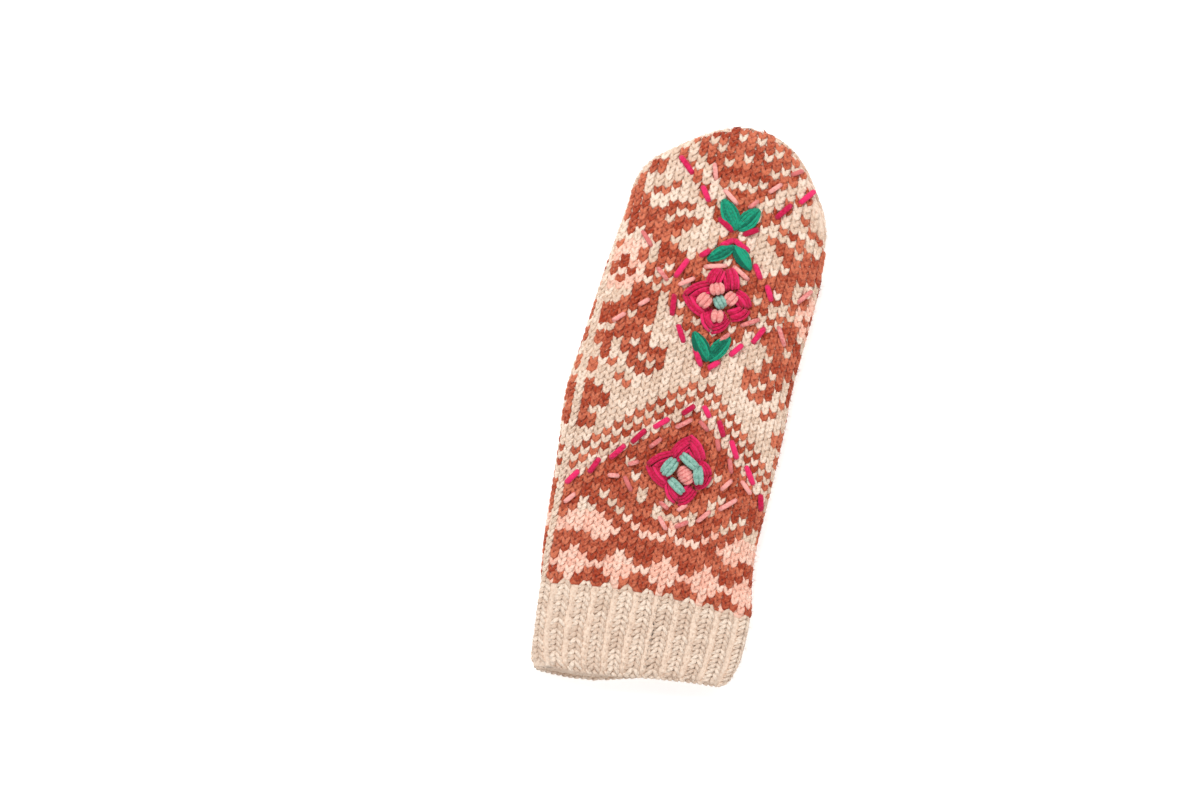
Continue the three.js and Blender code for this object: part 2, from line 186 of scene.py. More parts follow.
class Tube:
    """A closed tube round Y, in millimetres, given by rings of x and z that start at +X and run
    over the top. A place on it is y and s, the length round from the middle of the top to +X."""

    EVEN = 600

    def __init__(self, y, x, z, middle_x):
        length = np.zeros_like(x)
        length[:, 1:] = np.cumsum(np.hypot(np.diff(x, axis=1), np.diff(z, axis=1)), axis=1)
        half = x.shape[1] // 2
        over = slice(0, half + 1)
        middle = np.array([
            np.interp(middle_x, x[i, over][::-1], length[i, over][::-1]) for i in range(len(y))
        ])
        self.y, self.total = y, length[:, -1]
        self.to_right, self.to_left = middle, length[:, half] - middle
        share = np.linspace(0, 1, self.EVEN + 1)
        self.x, self.z = np.empty((2, len(y), self.EVEN + 1))
        for i in range(len(y)):
            wanted = (middle[i] - share * self.total[i]) % self.total[i]
            self.x[i] = np.interp(wanted, length[i], x[i])
            self.z[i] = np.interp(wanted, length[i], z[i])

    def girth(self, y):
        """Length round the tube at y."""
        return np.interp(y, self.y, self.total)

    def at(self, y, s):
        """Points for arrays of y and s."""
        column = ((s / self.girth(y)) % 1.0) * self.EVEN
        row = np.clip((y - self.y[0]) / (self.y[1] - self.y[0]), 0, len(self.y) - 1.001)
        i, j = row.astype(int), np.minimum(column.astype(int), self.EVEN - 1)
        a, b = row - i, column - j
        x, z = (
            grid[i, j] * (1 - a) * (1 - b) + grid[i + 1, j] * a * (1 - b)
            + grid[i, j + 1] * (1 - a) * b + grid[i + 1, j + 1] * a * b
            for grid in (self.x, self.z)
        )
        return np.stack((x, y + 0 * s, z), axis=-1)

    def around(self, y, share):
        """Points for arrays of y and of shares of the way round."""
        return self.at(y, share * self.girth(y))

    def edge(self, side, y):
        """Length from the middle of the top to the side, -1 or 1."""
        return np.interp(y, self.y, self.to_left if side < 0 else self.to_right)


RING_POINTS = 721
TUBE_FROM, TUBE_TO = -6.0, 281.0
# Roundness of the rings: 2 / 2 is an ellipse, and less is squarer
BACK_POWER, PALM_POWER = 2 / 2.7, 2 / 3.6
# The least half width, how far the palm is pressed flat on the table, the length over which the
# tip rounds off, and the share of its thickness that the very tip keeps
LEAST_HALF, PALM_PRESS, TIP_ROUND, THIN_TIP = 2.5, 0.8, 20.0, 0.06


def hand_tube(inset=0.0):
    """The flattened tube of cuff and hand, inset under its outside."""
    y = np.arange(TUBE_FROM, TUBE_TO)
    at = np.minimum(y, HAND_LENGTH)
    left = along(1, at + inset / 2) + inset
    right = along(2, at + inset / 2) - inset
    crown = along(3, at)[:, None]
    half = np.maximum(LEAST_HALF, (right - left) / 2)[:, None]
    past = np.maximum(0, (at - (HAND_LENGTH - inset - TIP_ROUND)) / TIP_ROUND)
    flat = np.maximum(THIN_TIP, np.sqrt(np.maximum(0, 1 - past * past)))[:, None]
    angle = np.linspace(0, 2 * np.pi, RING_POINTS)[None, :]
    back = np.sin(angle) >= 0
    power = np.where(back, BACK_POWER, PALM_POWER)
    across = np.sign(np.cos(angle)) * np.abs(np.cos(angle)) ** power
    x = (left + right)[:, None] / 2 + half * across
    bulge = np.abs(np.sin(angle)) ** power * flat
    top = SIDE_HEIGHT + (crown - SIDE_HEIGHT - inset) * bulge
    palm = np.maximum(inset, SIDE_HEIGHT - (SIDE_HEIGHT + PALM_PRESS - inset) * bulge)
    z = np.where(back, top, palm)
    tube = Tube(y, x, z, CENTRE_X)
    rise = np.clip((tube.z - HAND_WALL) / (crown - 2 * HAND_WALL), 0, 1)
    lift = THUMB_LIFT * over_thumb(tube.x, y[:, None], THUMB_SLOPE)
    hump = HUMP * over_thumb(tube.x, y[:, None], HUMP_SLOPE)
    tube.z = np.maximum(0, tube.z) + lift * (1 - rise) + hump * rise
    return tube


def grid_object(name, points, wrap=False):
    """A mesh object through a grid of points in millimetres, closed across its columns if
    wrapped."""
    rows, columns = points.shape[:2]
    index = np.arange(rows * columns).reshape(rows, columns)
    if wrap:
        index = np.concatenate((index, index[:, :1]), axis=1)
    corners = np.stack((index[:-1, :-1], index[:-1, 1:], index[1:, 1:], index[1:, :-1]), axis=-1)
    mesh = bpy.data.meshes.new(name)
    mesh.from_pydata(
        ((points.reshape(-1, 3) + SHIFT) * MM).tolist(), [], corners.reshape(-1, 4).tolist()
    )
    mesh.shade_smooth()
    thing = bpy.data.objects.new(name, mesh)
    scene.collection.objects.link(thing)
    return thing


# A skin's map of the flat knitting: metres to the map's side, and where s = t = 0 lies on it
FLAT_SIZE = 0.4
FLAT_MIDDLE = (0.5, 0.08)


def wrapping_skin(name, place, s_span, t_span, step=2.0):
    """The skin that flat knitting is wrapped on. place(s, t) gives its points; s runs across
    the stitches and t along the columns."""
    s, t = np.meshgrid(np.arange(*s_span, step), np.arange(*t_span, step))
    points = place(s, t)
    out = np.cross(np.gradient(points, axis=1), np.gradient(points, axis=0))
    out /= np.maximum(1e-9, np.linalg.norm(out, axis=-1, keepdims=True))
    skin = grid_object(name, points)
    flat = (s * MM / FLAT_SIZE + FLAT_MIDDLE[0], t * MM / FLAT_SIZE + FLAT_MIDDLE[1], 0 * s)
    for key, values in (("flat", np.stack(flat, -1)), ("outward", out)):
        kept = skin.data.attributes.new(key, "FLOAT_VECTOR", "POINT")
        kept.data.foreach_set("vector", values.ravel())
    return skin


def node_maker(tree):
    """A function that adds a node to the tree, with its settings and its filled sockets."""
    def node(kind, sockets=None, **settings):
        made = tree.nodes.new(kind)
        for key, value in settings.items():
            setattr(made, key, value)
        fill(tree, made, sockets or {})
        return made
    return node


def new_tree(name, inputs, output):
    """An empty Geometry Nodes tree with its named inputs and its output, and its node maker."""
    tree = bpy.data.node_groups.new(name, "GeometryNodeTree")
    for key, kind in inputs.items():
        tree.interface.new_socket(key, in_out="INPUT", socket_type="NodeSocket" + kind)
    tree.interface.new_socket(output, in_out="OUTPUT", socket_type="NodeSocketGeometry")
    return tree, node_maker(tree)


def random_value(node, kind, low, high, seed):
    """The socket of a random value from low to high."""
    made = node("FunctionNodeRandomValue", {"Min": low, "Max": high, "Seed": seed}, data_type=kind)
    return next(socket for socket in made.outputs if socket.enabled)


# The smallest and the largest share of its width, length and thickness that a stitch may have
SMALLEST, LARGEST = (0.9, 0.93, 0.85), (1.12, 1.08, 1.15)


def knitting_tree():
    """One stitch on each flat place, each a little uneven, wrapped on the skin."""
    tree, node = new_tree("knitting wrapped on a skin", {
        "Places": "Geometry", "Stitch": "Object", "Skin": "Object",
        "Unevenness": "Float", "Seed": "Int", "Yarn": "Material",
    }, "Knitting")

    def named(key, kind="FLOAT_VECTOR"):
        attribute = node("GeometryNodeInputNamedAttribute", {"Name": key}, data_type=kind)
        return attribute.outputs["Attribute"]

    def on_skin(value):
        return node("GeometryNodeSampleUVSurface", {
            "Mesh": skin.outputs["Geometry"], "Value": value,
            "Source UV Map": named("flat"), "Sample UV": spot.outputs[0],
        }, data_type="FLOAT_VECTOR").outputs[0]

    given = node("NodeGroupInput").outputs
    stitch = node("GeometryNodeObjectInfo", {"Object": given["Stitch"]})
    skin = node("GeometryNodeObjectInfo", {"Object": given["Skin"]})
    less = node("ShaderNodeMath", {0: given["Unevenness"], 1: -1.0}, operation="MULTIPLY")
    lean = random_value(node, "FLOAT", less.outputs[0], given["Unevenness"], given["Seed"])
    turned = node("ShaderNodeMath", {0: named("turn", "FLOAT"), 1: lean}, operation="ADD")
    angle = node("ShaderNodeCombineXYZ", {"Z": turned.outputs[0]})
    swell = random_value(node, "FLOAT_VECTOR", SMALLEST, LARGEST, given["Seed"])
    sized = node("ShaderNodeVectorMath", {0: named("size"), 1: swell}, operation="MULTIPLY")
    rows = node("GeometryNodeInstanceOnPoints", {
        "Points": given["Places"], "Instance": stitch.outputs["Geometry"],
        "Rotation": angle.outputs[0], "Scale": sized.outputs[0],
    })
    toned = node("GeometryNodeStoreNamedAttribute", {
        "Geometry": rows.outputs["Instances"], "Name": "tone",
        "Value": random_value(node, "FLOAT", -1.0, 1.0, given["Seed"]),
    }, data_type="FLOAT", domain="INSTANCE")
    real = node("GeometryNodeRealizeInstances", {"Geometry": toned.outputs["Geometry"]})
    position = node("GeometryNodeInputPosition").outputs[0]
    depth = node("ShaderNodeSeparateXYZ", {0: position}).outputs["Z"]
    spot = node("ShaderNodeVectorMath", {
        0: position, 1: (1 / FLAT_SIZE, 1 / FLAT_SIZE, 0), 2: (*FLAT_MIDDLE, 0),
    }, operation="MULTIPLY_ADD")
    proud = node("ShaderNodeVectorMath", {
        0: on_skin(named("outward")), "Scale": depth,
    }, operation="SCALE")
    place = node("ShaderNodeVectorMath", {
        0: on_skin(position), 1: proud.outputs[0],
    }, operation="ADD")
    wrapped = node("GeometryNodeSetPosition", {
        "Geometry": real.outputs[0], "Position": place.outputs[0],
    })
    whole = node("GeometryNodeRealizeInstances", {"Geometry": wrapped.outputs[0]})
    dyed = node("GeometryNodeSetMaterial", {
        "Geometry": whole.outputs[0], "Material": given["Yarn"],
    })
    node("NodeGroupOutput", {"Knitting": dyed.outputs[0]})
    return tree


KNITTING = knitting_tree()


def worked(name, tree, host, inputs):
    """What a tree makes on a host mesh from its named inputs, as one plain mesh object."""
    holder = bpy.data.objects.new(name + "_host", host)
    scene.collection.objects.link(holder)
    modifier = holder.modifiers.new(name, "NODES")
    modifier.node_group = tree
    for item in tree.interface.items_tree:
        if item.in_out == "INPUT" and item.name in inputs:
            modifier[item.identifier] = inputs[item.name]
    evaluated = holder.evaluated_get(bpy.context.evaluated_depsgraph_get())
    piece = bpy.data.objects.new(name, bpy.data.meshes.new_from_object(evaluated))
    piece.data.materials.clear()
    piece.data.materials.append(inputs["Yarn"])
    piece.data.shade_smooth()
    bpy.data.objects.remove(holder)
    scene.collection.objects.link(piece)
    return piece


def knit(name, places, stitch, skin, yarn, seed, unevenness=0.09):
    """Knitting as one plain mesh. places has a row for each stitch, in millimetres on the flat:
    s, t, depth, turn, width, length and thickness."""
    places = np.asarray(places, float)
    flat = bpy.data.meshes.new(name)
    flat.from_pydata((places[:, :3] * MM).tolist(), [], [])
    flat.attributes.new("turn", "FLOAT", "POINT").data.foreach_set("value", places[:, 3].copy())
    size = flat.attributes.new("size", "FLOAT_VECTOR", "POINT")
    size.data.foreach_set("vector", places[:, 4:7].ravel())
    return worked(name, KNITTING, flat, {
        "Stitch": stitch, "Skin": skin, "Unevenness": unevenness, "Seed": seed, "Yarn": yarn,
    })


def strand(path, wide, tall, sides=5):
    """A closed length of yarn along path in millimetres, pointed at both ends, with its half
    width and half height at each point between them. Its own map is the share of a turn round it
    and the centimetres along it."""
    path = np.asarray(path, float)
    tangent = np.gradient(path, axis=0)
    tangent /= np.linalg.norm(tangent, axis=1, keepdims=True)
    side = np.cross(tangent, (0, 0, 1.0))
    side /= np.maximum(1e-6, np.linalg.norm(side, axis=1, keepdims=True))
    lift = np.cross(side, tangent)
    around = np.arange(sides) * 2 * np.pi / sides + np.pi / sides
    inner = slice(1, -1)
    rings = (
        path[inner, None] + side[inner, None] * (np.outer(wide, np.cos(around)))[..., None]
        + lift[inner, None] * (np.outer(tall, np.sin(around)))[..., None]
    )
    length = np.concatenate(([0], np.cumsum(np.linalg.norm(np.diff(path, axis=0), axis=1)))) / 10
    count = len(path) - 2
    points = [path[0].tolist(), *rings.reshape(-1, 3).tolist(), path[-1].tolist()]
    last = len(points) - 1
    faces, maps = [], []
    for k in range(sides):
        k2, u, u2 = (k + 1) % sides, k / sides, (k + 1) / sides
        faces.append((0, 1 + k, 1 + k2))
        maps.append(((u, length[0]), (u, length[1]), (u2, length[1])))
        for i in range(count - 1):
            a, b = 1 + i * sides, 1 + (i + 1) * sides
            faces.append((a + k, b + k, b + k2, a + k2))
            near, far = length[i + 1], length[i + 2]
            maps.append(((u, near), (u, far), (u2, far), (u2, near)))
        end = 1 + (count - 1) * sides
        faces.append((last, end + k2, end + k))
        maps.append(((u, length[-1]), (u2, length[-2]), (u, length[-2])))
    return points, faces, maps


def yarn_object(name, strands, shift=(0, 0, 0), tones=None):
    """Strands joined into one mesh object, with their own map kept as twist. tones gives each
    strand its own share between the yarn's deep and light colour."""
    points, faces, maps, shades = [], [], [], []
    for k, (one_points, one_faces, one_maps) in enumerate(strands):
        first = len(points)
        points += one_points
        shades += [0.0 if tones is None else float(tones[k])] * len(one_points)
        faces += [tuple(first + i for i in face) for face in one_faces]
        maps += one_maps
    mesh = bpy.data.meshes.new(name)
    mesh.from_pydata(((np.array(points) + shift) * MM).tolist(), [], faces)
    twist = mesh.uv_layers.new(name="twist")
    twist.data.foreach_set("uv", np.array([uv for face in maps for uv in face]).ravel())
    if tones is not None:
        mesh.attributes.new("tone", "FLOAT", "POINT").data.foreach_set("value", shades)
    mesh.shade_smooth()
    thing = bpy.data.objects.new(name, mesh)
    scene.collection.objects.link(thing)
    return thing


# The right leg of a knit stitch: it comes up through the loop under it, leans out and dives
# behind the loop above. Columns: x, y, depth, half width, half height
LEG = np.array((
    (-0.05, -0.80, -2.0, 0, 0),
    (0.16, -0.05, -1.05, 0.66, 0.56),
    (0.52, 1.05, -0.48, 1.04, 0.78),
    (0.98, 2.25, -0.36, 1.14, 0.84),
    (1.46, 3.40, -0.56, 1.06, 0.80),
    (1.90, 4.45, -1.05, 0.72, 0.62),
    (2.26, 5.30, -1.90, 0, 0),
))
# The left leg is steeper and lies a little deeper, as the yarn's own twist pulls it
LEFT_LEG = LEG * (0.86, 1.0, 1, 0.92, 0.94) - (0, 0, 0.16, 0, 0)


def knit_stitch(name, widen=1.0, fatten=1.0):
    """Both legs of one stitch, as an object to repeat."""
    legs = []
    for side, leg in ((-1, LEFT_LEG), (1, LEG)):
        path = leg[:, :3] * (side * widen, 1, 1)
        legs.append(strand(path, leg[1:-1, 3] * fatten, leg[1:-1, 4]))
    return yarn_object(name, legs)


def srgb(red, green, blue):
    """A colour of 0 to 255 as the shader's linear one."""
    share = np.array((red, green, blue)) / 255
    linear = np.where(share <= 0.04045, share / 12.92, ((share + 0.055) / 1.055) ** 2.4)
    return (*linear.tolist(), 1)


# Wool: the grain of its fibres, the share that a stitch's own tone has in its colour, the part of
# their sum that runs from the deep to the light colour, the plies of the yarn, the depth of their
# twist and of the raised fibres, and how those are drawn out along the yarn
GRAIN, TONE_SHARE, DEEP_TO_LIGHT = 900, 0.22, (0.27, 0.73)
PLIES, PLY_DEPTH, FLUFF_DEPTH, DRAWN_OUT = 2, 0.25 * MM, 0.3 * MM, (11, 5, 1)


def wool(name, deep, light, twist=1.0, turns=4.5):
    """Soft wool yarn in two colours of fibre. turns is the plies' twist to the centimetre, and
    twist is how strongly it shows."""
    material = bpy.data.materials.new(name)
    material.use_nodes = True
    node = node_maker(material.node_tree)
    place = node("ShaderNodeTexCoord")
    fibres = node("ShaderNodeTexNoise", {
        "Vector": place.outputs["Object"], "Scale": GRAIN, "Detail": 3,
    })
    tone = node("ShaderNodeAttribute", attribute_name="tone")
    uneven = node("ShaderNodeMath", {
        0: tone.outputs["Fac"], 1: TONE_SHARE, 2: fibres.outputs["Fac"],
    }, operation="MULTIPLY_ADD")
    spread = node("ShaderNodeMapRange", {
        "Value": uneven.outputs[0], "From Min": DEEP_TO_LIGHT[0], "From Max": DEEP_TO_LIGHT[1],
    })
    mix = node("ShaderNodeMix", {
        "Factor": spread.outputs["Result"], 6: deep, 7: light,
    }, data_type="RGBA")
    twisted = node("ShaderNodeUVMap", uv_map="twist").outputs["UV"]
    parts = node("ShaderNodeSeparateXYZ", {0: twisted})
    round_yarn = node("ShaderNodeMath", {0: parts.outputs["X"], 1: PLIES}, operation="MULTIPLY")
    ply = node("ShaderNodeMath", {
        0: parts.outputs["Y"], 1: turns, 2: round_yarn.outputs[0],
    }, operation="MULTIPLY_ADD")
    wave = node("ShaderNodeMath", {0: ply.outputs[0], 1: 2 * math.pi}, operation="MULTIPLY")
    rope = node("ShaderNodeMath", {0: wave.outputs[0]}, operation="SINE")
    plies = node("ShaderNodeBump", {
        "Height": rope.outputs[0], "Strength": 0.55 * twist, "Distance": PLY_DEPTH,
    })
    drawn = node("ShaderNodeVectorMath", {0: twisted, 1: DRAWN_OUT}, operation="MULTIPLY")
    lying = node("ShaderNodeVectorMath", {
        0: drawn.outputs[0], 1: tone.outputs["Vector"],
    }, operation="ADD")
    fluff = node("ShaderNodeTexNoise", {"Vector": lying.outputs[0], "Scale": 2, "Detail": 3})
    raised = node("ShaderNodeBump", {
        "Height": fluff.outputs["Fac"], "Normal": plies.outputs["Normal"],
        "Strength": 0.7, "Distance": FLUFF_DEPTH,
    })
    fill(material.node_tree, material.node_tree.nodes["Principled BSDF"], {
        "Base Color": mix.outputs[2], "Normal": raised.outputs["Normal"], "Roughness": 0.92,
        "Specular IOR Level": 0.15, "Sheen Weight": 0.12, "Sheen Roughness": 0.6,
    })
    return material


# Loose fibres: their number to the square metre, the height that they begin over, how far they
# lean, the share of their length, and the path and thickness of one
FUZZ_DENSITY = 200000
FUZZ_ABOVE = 4.5
FIBRE_LEAN = 1.25
FIBRE_LENGTHS = (0.45, 1.3)
FIBRE_PATH = ((0, 0, -0.2), (0.15, 0, 0.6), (0.6, 0.25, 1.4), (1.2, 0.8, 1.8))
FIBRE_HALF = (0.07, 0.05)


def fuzz_tree():
    """Loose fibres that stand off the upper side of a piece, half lying down."""
    tree, node = new_tree("loose wool fibres", {
        "Piece": "Object", "Fibre": "Object", "Density": "Float", "Seed": "Int",
        "Yarn": "Material",
    }, "Fuzz")
    given = node("NodeGroupInput").outputs
    piece = node("GeometryNodeObjectInfo", {"Object": given["Piece"]})
    fibre = node("GeometryNodeObjectInfo", {"Object": given["Fibre"]})
    parts = node("ShaderNodeSeparateXYZ", {0: node("GeometryNodeInputPosition").outputs[0]})
    clear = node("FunctionNodeCompare", {
        "A": parts.outputs["Z"], "B": FUZZ_ABOVE * MM,
    }, data_type="FLOAT", operation="GREATER_THAN")
    roots = node("GeometryNodeDistributePointsOnFaces", {
        "Mesh": piece.outputs["Geometry"], "Selection": clear.outputs["Result"],
        "Density": given["Density"], "Seed": given["Seed"],
    })
    most = (FIBRE_LEAN, FIBRE_LEAN, math.pi)
    least = tuple(-turn for turn in most)
    leaning = node("FunctionNodeRotateRotation", {
        "Rotation": roots.outputs["Rotation"],
        "Rotate By": random_value(node, "FLOAT_VECTOR", least, most, given["Seed"]),
    }, rotation_space="LOCAL")
    fibres = node("GeometryNodeInstanceOnPoints", {
        "Points": roots.outputs["Points"], "Instance": fibre.outputs["Geometry"],
        "Rotation": leaning.outputs[0],
        "Scale": random_value(node, "FLOAT", *FIBRE_LENGTHS, given["Seed"]),
    })
    real = node("GeometryNodeRealizeInstances", {"Geometry": fibres.outputs["Instances"]})
    dyed = node("GeometryNodeSetMaterial", {
        "Geometry": real.outputs[0], "Material": given["Yarn"],
    })
    node("NodeGroupOutput", {"Fuzz": dyed.outputs[0]})
    return tree


FUZZ = fuzz_tree()


def fuzz(piece, seed):
    """The loose fibres of a piece, in its own yarn, as one plain mesh."""
    fibre = yarn_object("fibre", [strand(FIBRE_PATH, FIBRE_HALF, FIBRE_HALF, 3)])
    made = worked(piece.name + "_fuzz", FUZZ, bpy.data.meshes.new("fuzz_roots"), {
        "Piece": piece, "Fibre": fibre, "Density": FUZZ_DENSITY, "Seed": seed,
        "Yarn": piece.data.materials[0],
    })
    bpy.data.objects.remove(fibre)
    return made


cuff_wool = wool("oatmeal cream wool", srgb(219, 192, 171), srgb(246, 226, 208))
STITCH_RISE = 0.6
OUTER = hand_tube(STITCH_RISE)
# Rows hang down by FALL at FALL_REACH from the middle of their face. On the little-finger side
# they have slipped further at SLIP_REACH: each slip grows from one height over the join to another
FALL, FALL_REACH = 4.9, 55
SLIPS, SLIP_REACH = ((4.6, 45, 110), (2.4, 135, 170)), 39


def droop(s, t=0.0):
    """How far a row hangs towards the wrist, s millimetres from the middle of its face and t
    millimetres over the join."""
    slipped = sum(slip * smoothstep(t, low, high) for slip, low, high in SLIPS)
    return FALL * (s / FALL_REACH) ** 2 + slipped * (np.maximum(0, s) / SLIP_REACH) ** 2


JOIN_Y = 43.0


def join_line(share):
    """y where the cuff's rib ends, for a share of the way round from the middle of the back."""
    round_share = share % 1.0
    from_middle = np.minimum(round_share, 1 - round_share)
    from_middle = np.minimum(from_middle, np.abs(0.5 - round_share))
    return JOIN_Y - droop(from_middle * OUTER.girth(CUFF_LENGTH))


RIB_COUNT = 22
RIB_ON_FLAT = 10.0
# The cast-off edge: how far up it lies, and its wave across the cuff
EDGE_RISE, WAVE, WAVE_MIDDLE, WAVE_LENGTH = 1.2, 3, 2, 72
# The palm's lip: how much lower it hangs at the least and how much more towards the thumb, between
# which shares of the way round it begins, and between which x it grows
LEAST_LIP, PALM_LIP, LIP_BEGINS, LIP_GROWS = 0.7, 3.4, (0.24, 0.32), (-14, 22)


def on_cuff(rib, t, skin=OUTER):
    """Cuff place for a rib number and t from 0 at the wrist's edge to 1 at the join."""
    share = (rib + 0.5) / RIB_COUNT
    level = np.clip(t, -0.2, 1.2) * join_line(share)
    rough = skin.at(level, share * OUTER.girth(level))
    x = rough[..., 0]
    wave = WAVE * np.sin(np.pi * (x - WAVE_MIDDLE) / WAVE_LENGTH)
    underside = smoothstep(np.abs((share + 0.5) % 1.0 - 0.5), *LIP_BEGINS)
    lip = underside * (LEAST_LIP + PALM_LIP * smoothstep(-x, *LIP_GROWS))
    rough[..., 1] += np.maximum(0, 1 - level / CUFF_LENGTH) * (EDGE_RISE + wave - lip)
    return rough


ROW_OF_RIB = 2.68
CUFF_ROWS = 15
FIRST_RIB_ROW = 1.7
PURL_DEPTH = -1.8
EDGE_PER_RIB = 3
cuff_skin = wrapping_skin(
    "cuff_skin", lambda s, t: on_cuff(s / RIB_ON_FLAT, t / CUFF_LENGTH),
    (-12 * RIB_ON_FLAT, 12 * RIB_ON_FLAT), (-6, 50),
)
rib_stitch = knit_stitch("rib_stitch", widen=1.72, fatten=1.12)
purl_bump = yarn_object("purl_bump", [strand(
    ((-1.9, 0, -1.2), (-1.2, 0.1, -0.3), (0, 0.2, 0), (1.2, 0.1, -0.3), (1.9, 0, -1.2)),
    (1.15, 1.35, 1.15), (0.6, 0.8, 0.6),
)])
edge_stitch = yarn_object("edge_stitch", [strand(
    ((-2.6, 0.5, -2.2), (-1.6, 0.3, -1.2), (0, 0, -0.9), (1.6, -0.3, -1.2), (2.6, -0.5, -2.2)),
    (0.9, 1.2, 0.9), (0.8, 1.0, 0.8),
)])
rib_places, purl_places, edge_places = [], [], []
for rib in range(-RIB_COUNT // 2, RIB_COUNT // 2):
    for row in range(CUFF_ROWS):
        t = (row + FIRST_RIB_ROW) * ROW_OF_RIB
        rib_places.append((rib * RIB_ON_FLAT, t, 0, math.pi, 1, 0.92, 1.1))
        purl_places.append((
            (rib + 0.5) * RIB_ON_FLAT, t - ROW_OF_RIB / 2, PURL_DEPTH, 0, 0.8, 1, 1,
        ))
    for part in range(EDGE_PER_RIB):
        edge_places.append(((rib + part / EDGE_PER_RIB) * RIB_ON_FLAT, 0.2, -0.5, 0, 0.85, 1, 1))
cuff_ribs = knit("cuff_ribs", rib_places, rib_stitch, cuff_skin, cuff_wool, 11, 0.05)
cuff_purls = knit("cuff_purl_grooves", purl_places, purl_bump, cuff_skin, cuff_wool, 12, 0.04)
cuff_edge = knit("cuff_cast_off_edge", edge_places, edge_stitch, cuff_skin, cuff_wool, 13, 0.06)

# Depth of the ground under the solids' outside. The cuff's wall lies inside the hand's, which it
# passes into
GROUND_DEPTH, CUFF_DEEPER, CUFF_THINNER = 1.6, 0.4, 0.25
CUFF_GROUND_TUBE = hand_tube(GROUND_DEPTH + CUFF_DEEPER)
CUFF_INNER_TUBE = hand_tube(HAND_WALL - CUFF_THINNER)
WELD = 1e-6


def weld(thing):
    """Join the doubled points of a mesh object and turn its faces outward."""
    work = bmesh.new()
    work.from_mesh(thing.data)
    bmesh.ops.remove_doubles(work, verts=work.verts, dist=WELD)
    bmesh.ops.recalc_face_normals(work, faces=work.faces)
    work.to_mesh(thing.data)
    work.free()
    thing.data.shade_smooth()


GROUND_LEVELS = np.linspace(0.02, 1.04, 14)
turns_round = np.linspace(-0.5, RIB_COUNT - 0.5, RIB_COUNT * 6, endpoint=False)
cuff_rings = [
    on_cuff(turns_round, np.full_like(turns_round, level), tube)
    for tube, levels in ((CUFF_GROUND_TUBE, GROUND_LEVELS), (CUFF_INNER_TUBE, GROUND_LEVELS[::-1]))
    for level in levels
]
cuff_ground = grid_object("cuff_ground", np.array([*cuff_rings, cuff_rings[0]]), wrap=True)
weld(cuff_ground)
cuff_ground.data.materials.append(cuff_wool)
for piece in (cuff_ribs, cuff_purls, cuff_edge, cuff_ground, fuzz(cuff_ribs, 14)):
    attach(piece, "root")
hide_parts("ribbed_cuff")
for pattern_piece in (cuff_skin, rib_stitch, purl_bump, edge_stitch):
    bpy.data.objects.remove(pattern_piece)

# Hand: stranded colourwork in rust and a light yarn, pink at the wrist and cream above, knitted
# round as one bag over a ground in the same colours. Back and palm carry the same chart, nearly
# alike on both sides of its middle, and a light band runs up each side towards the fingertips.
ROW = 3.37
FIRST_ROW_Y = 43.1
BACK_END_Y = 265.8
PALM_END_Y = BACK_END_Y - ROW
# Widths of the back's columns on the thumb's side and on the other, where they spread by a share
# between two heights over the join
COLUMN_LEFT, COLUMN_RIGHT = 4.45, 4.25
RIGHT_FROM, RIGHT_SPREAD, SPREAD_OVER = 0.95, 0.15, (110, 180)
# The light bands: their column, how far they lie under the hand's edge, between which heights
# they come up to it, and how far from the middle of the tip they end
BAND = 13
BAND_UNDER = 7.0
BAND_RISE = (205, 240)
BAND_END = 15.5
# The share of a column's width that a stitch of back or palm keeps from the band
BAND_MARGIN = 0.8


def column_width(side, t):
    """Width of the back's columns t millimetres over the join, where a side under 0 is the
    thumb's."""
    if side < 0:
        return COLUMN_LEFT
    return COLUMN_RIGHT * (RIGHT_FROM + RIGHT_SPREAD * smoothstep(t, *SPREAD_OVER))


def seam(side, y):
    """Length from the middle of the back to the light band, side -1 or 1."""
    column = column_width(side, y - FIRST_ROW_Y)
    under = BAND_UNDER * (1 - smoothstep(y, *BAND_RISE))
    return np.minimum(BAND * column, OUTER.edge(side, y) + under)


def palm_half(y):
    """Length from the middle of the palm to either band."""
    return (OUTER.girth(y) - seam(-1, y) - seam(1, y)) / 2


def on_back(s, t):
    """Place on the back for s and t on the flat."""
    return OUTER.at(np.minimum(FIRST_ROW_Y + t - droop(s, t), HAND_LENGTH), s)


def on_palm(s, t):
    """Place on the palm for s and t on the flat."""
    y = np.minimum(FIRST_ROW_Y + t - droop(s), HAND_LENGTH)
    return OUTER.at(y, seam(1, y) + palm_half(y) + s)


# The chart, in columns from the middle and rows from the cuff. Its zigzag: peaks every so many
# columns, and how far from them the light stitches of each row reach
PEAK_EVERY, ZIGZAG = 5, (0, 1, 5, 1, 0)
# Light stitches of the side hills: columns from the middle, to the first and last row
SIDE_HILLS = {6: (7, 7), 7: (6, 8), 8: (6, 9), 9: (7, 10), 10: (7, 11), 11: (7, 9), 12: (7, 8)}
# Light lines inside the large diamond: column from the middle, row
LOWER_LINES = (
    *((c, 7) for c in range(1, 4)), *((c, c + 4) for c in range(4, 9)),
    *((0, row) for row in range(8, 11)),
)
# Single light stitches there: column, row
LOWER_SPECKS = (
    (1, 10), (-1, 10), (2, 10), (2, 11), (-2, 10), (-2, 11), (4, 12), (4, 13), (-4, 12), (-4, 13),
    (3, 16), (4, 17), (1, 14), (-1, 12), (-6, 17), (5, 14), (-5, 15),
)
# The stripes that border the large diamond, by row plus column. On the middle column only the
# first rust one is rust
BORDER_LIGHT, BORDER_RUST = (26, 27, 29), (28, 30)
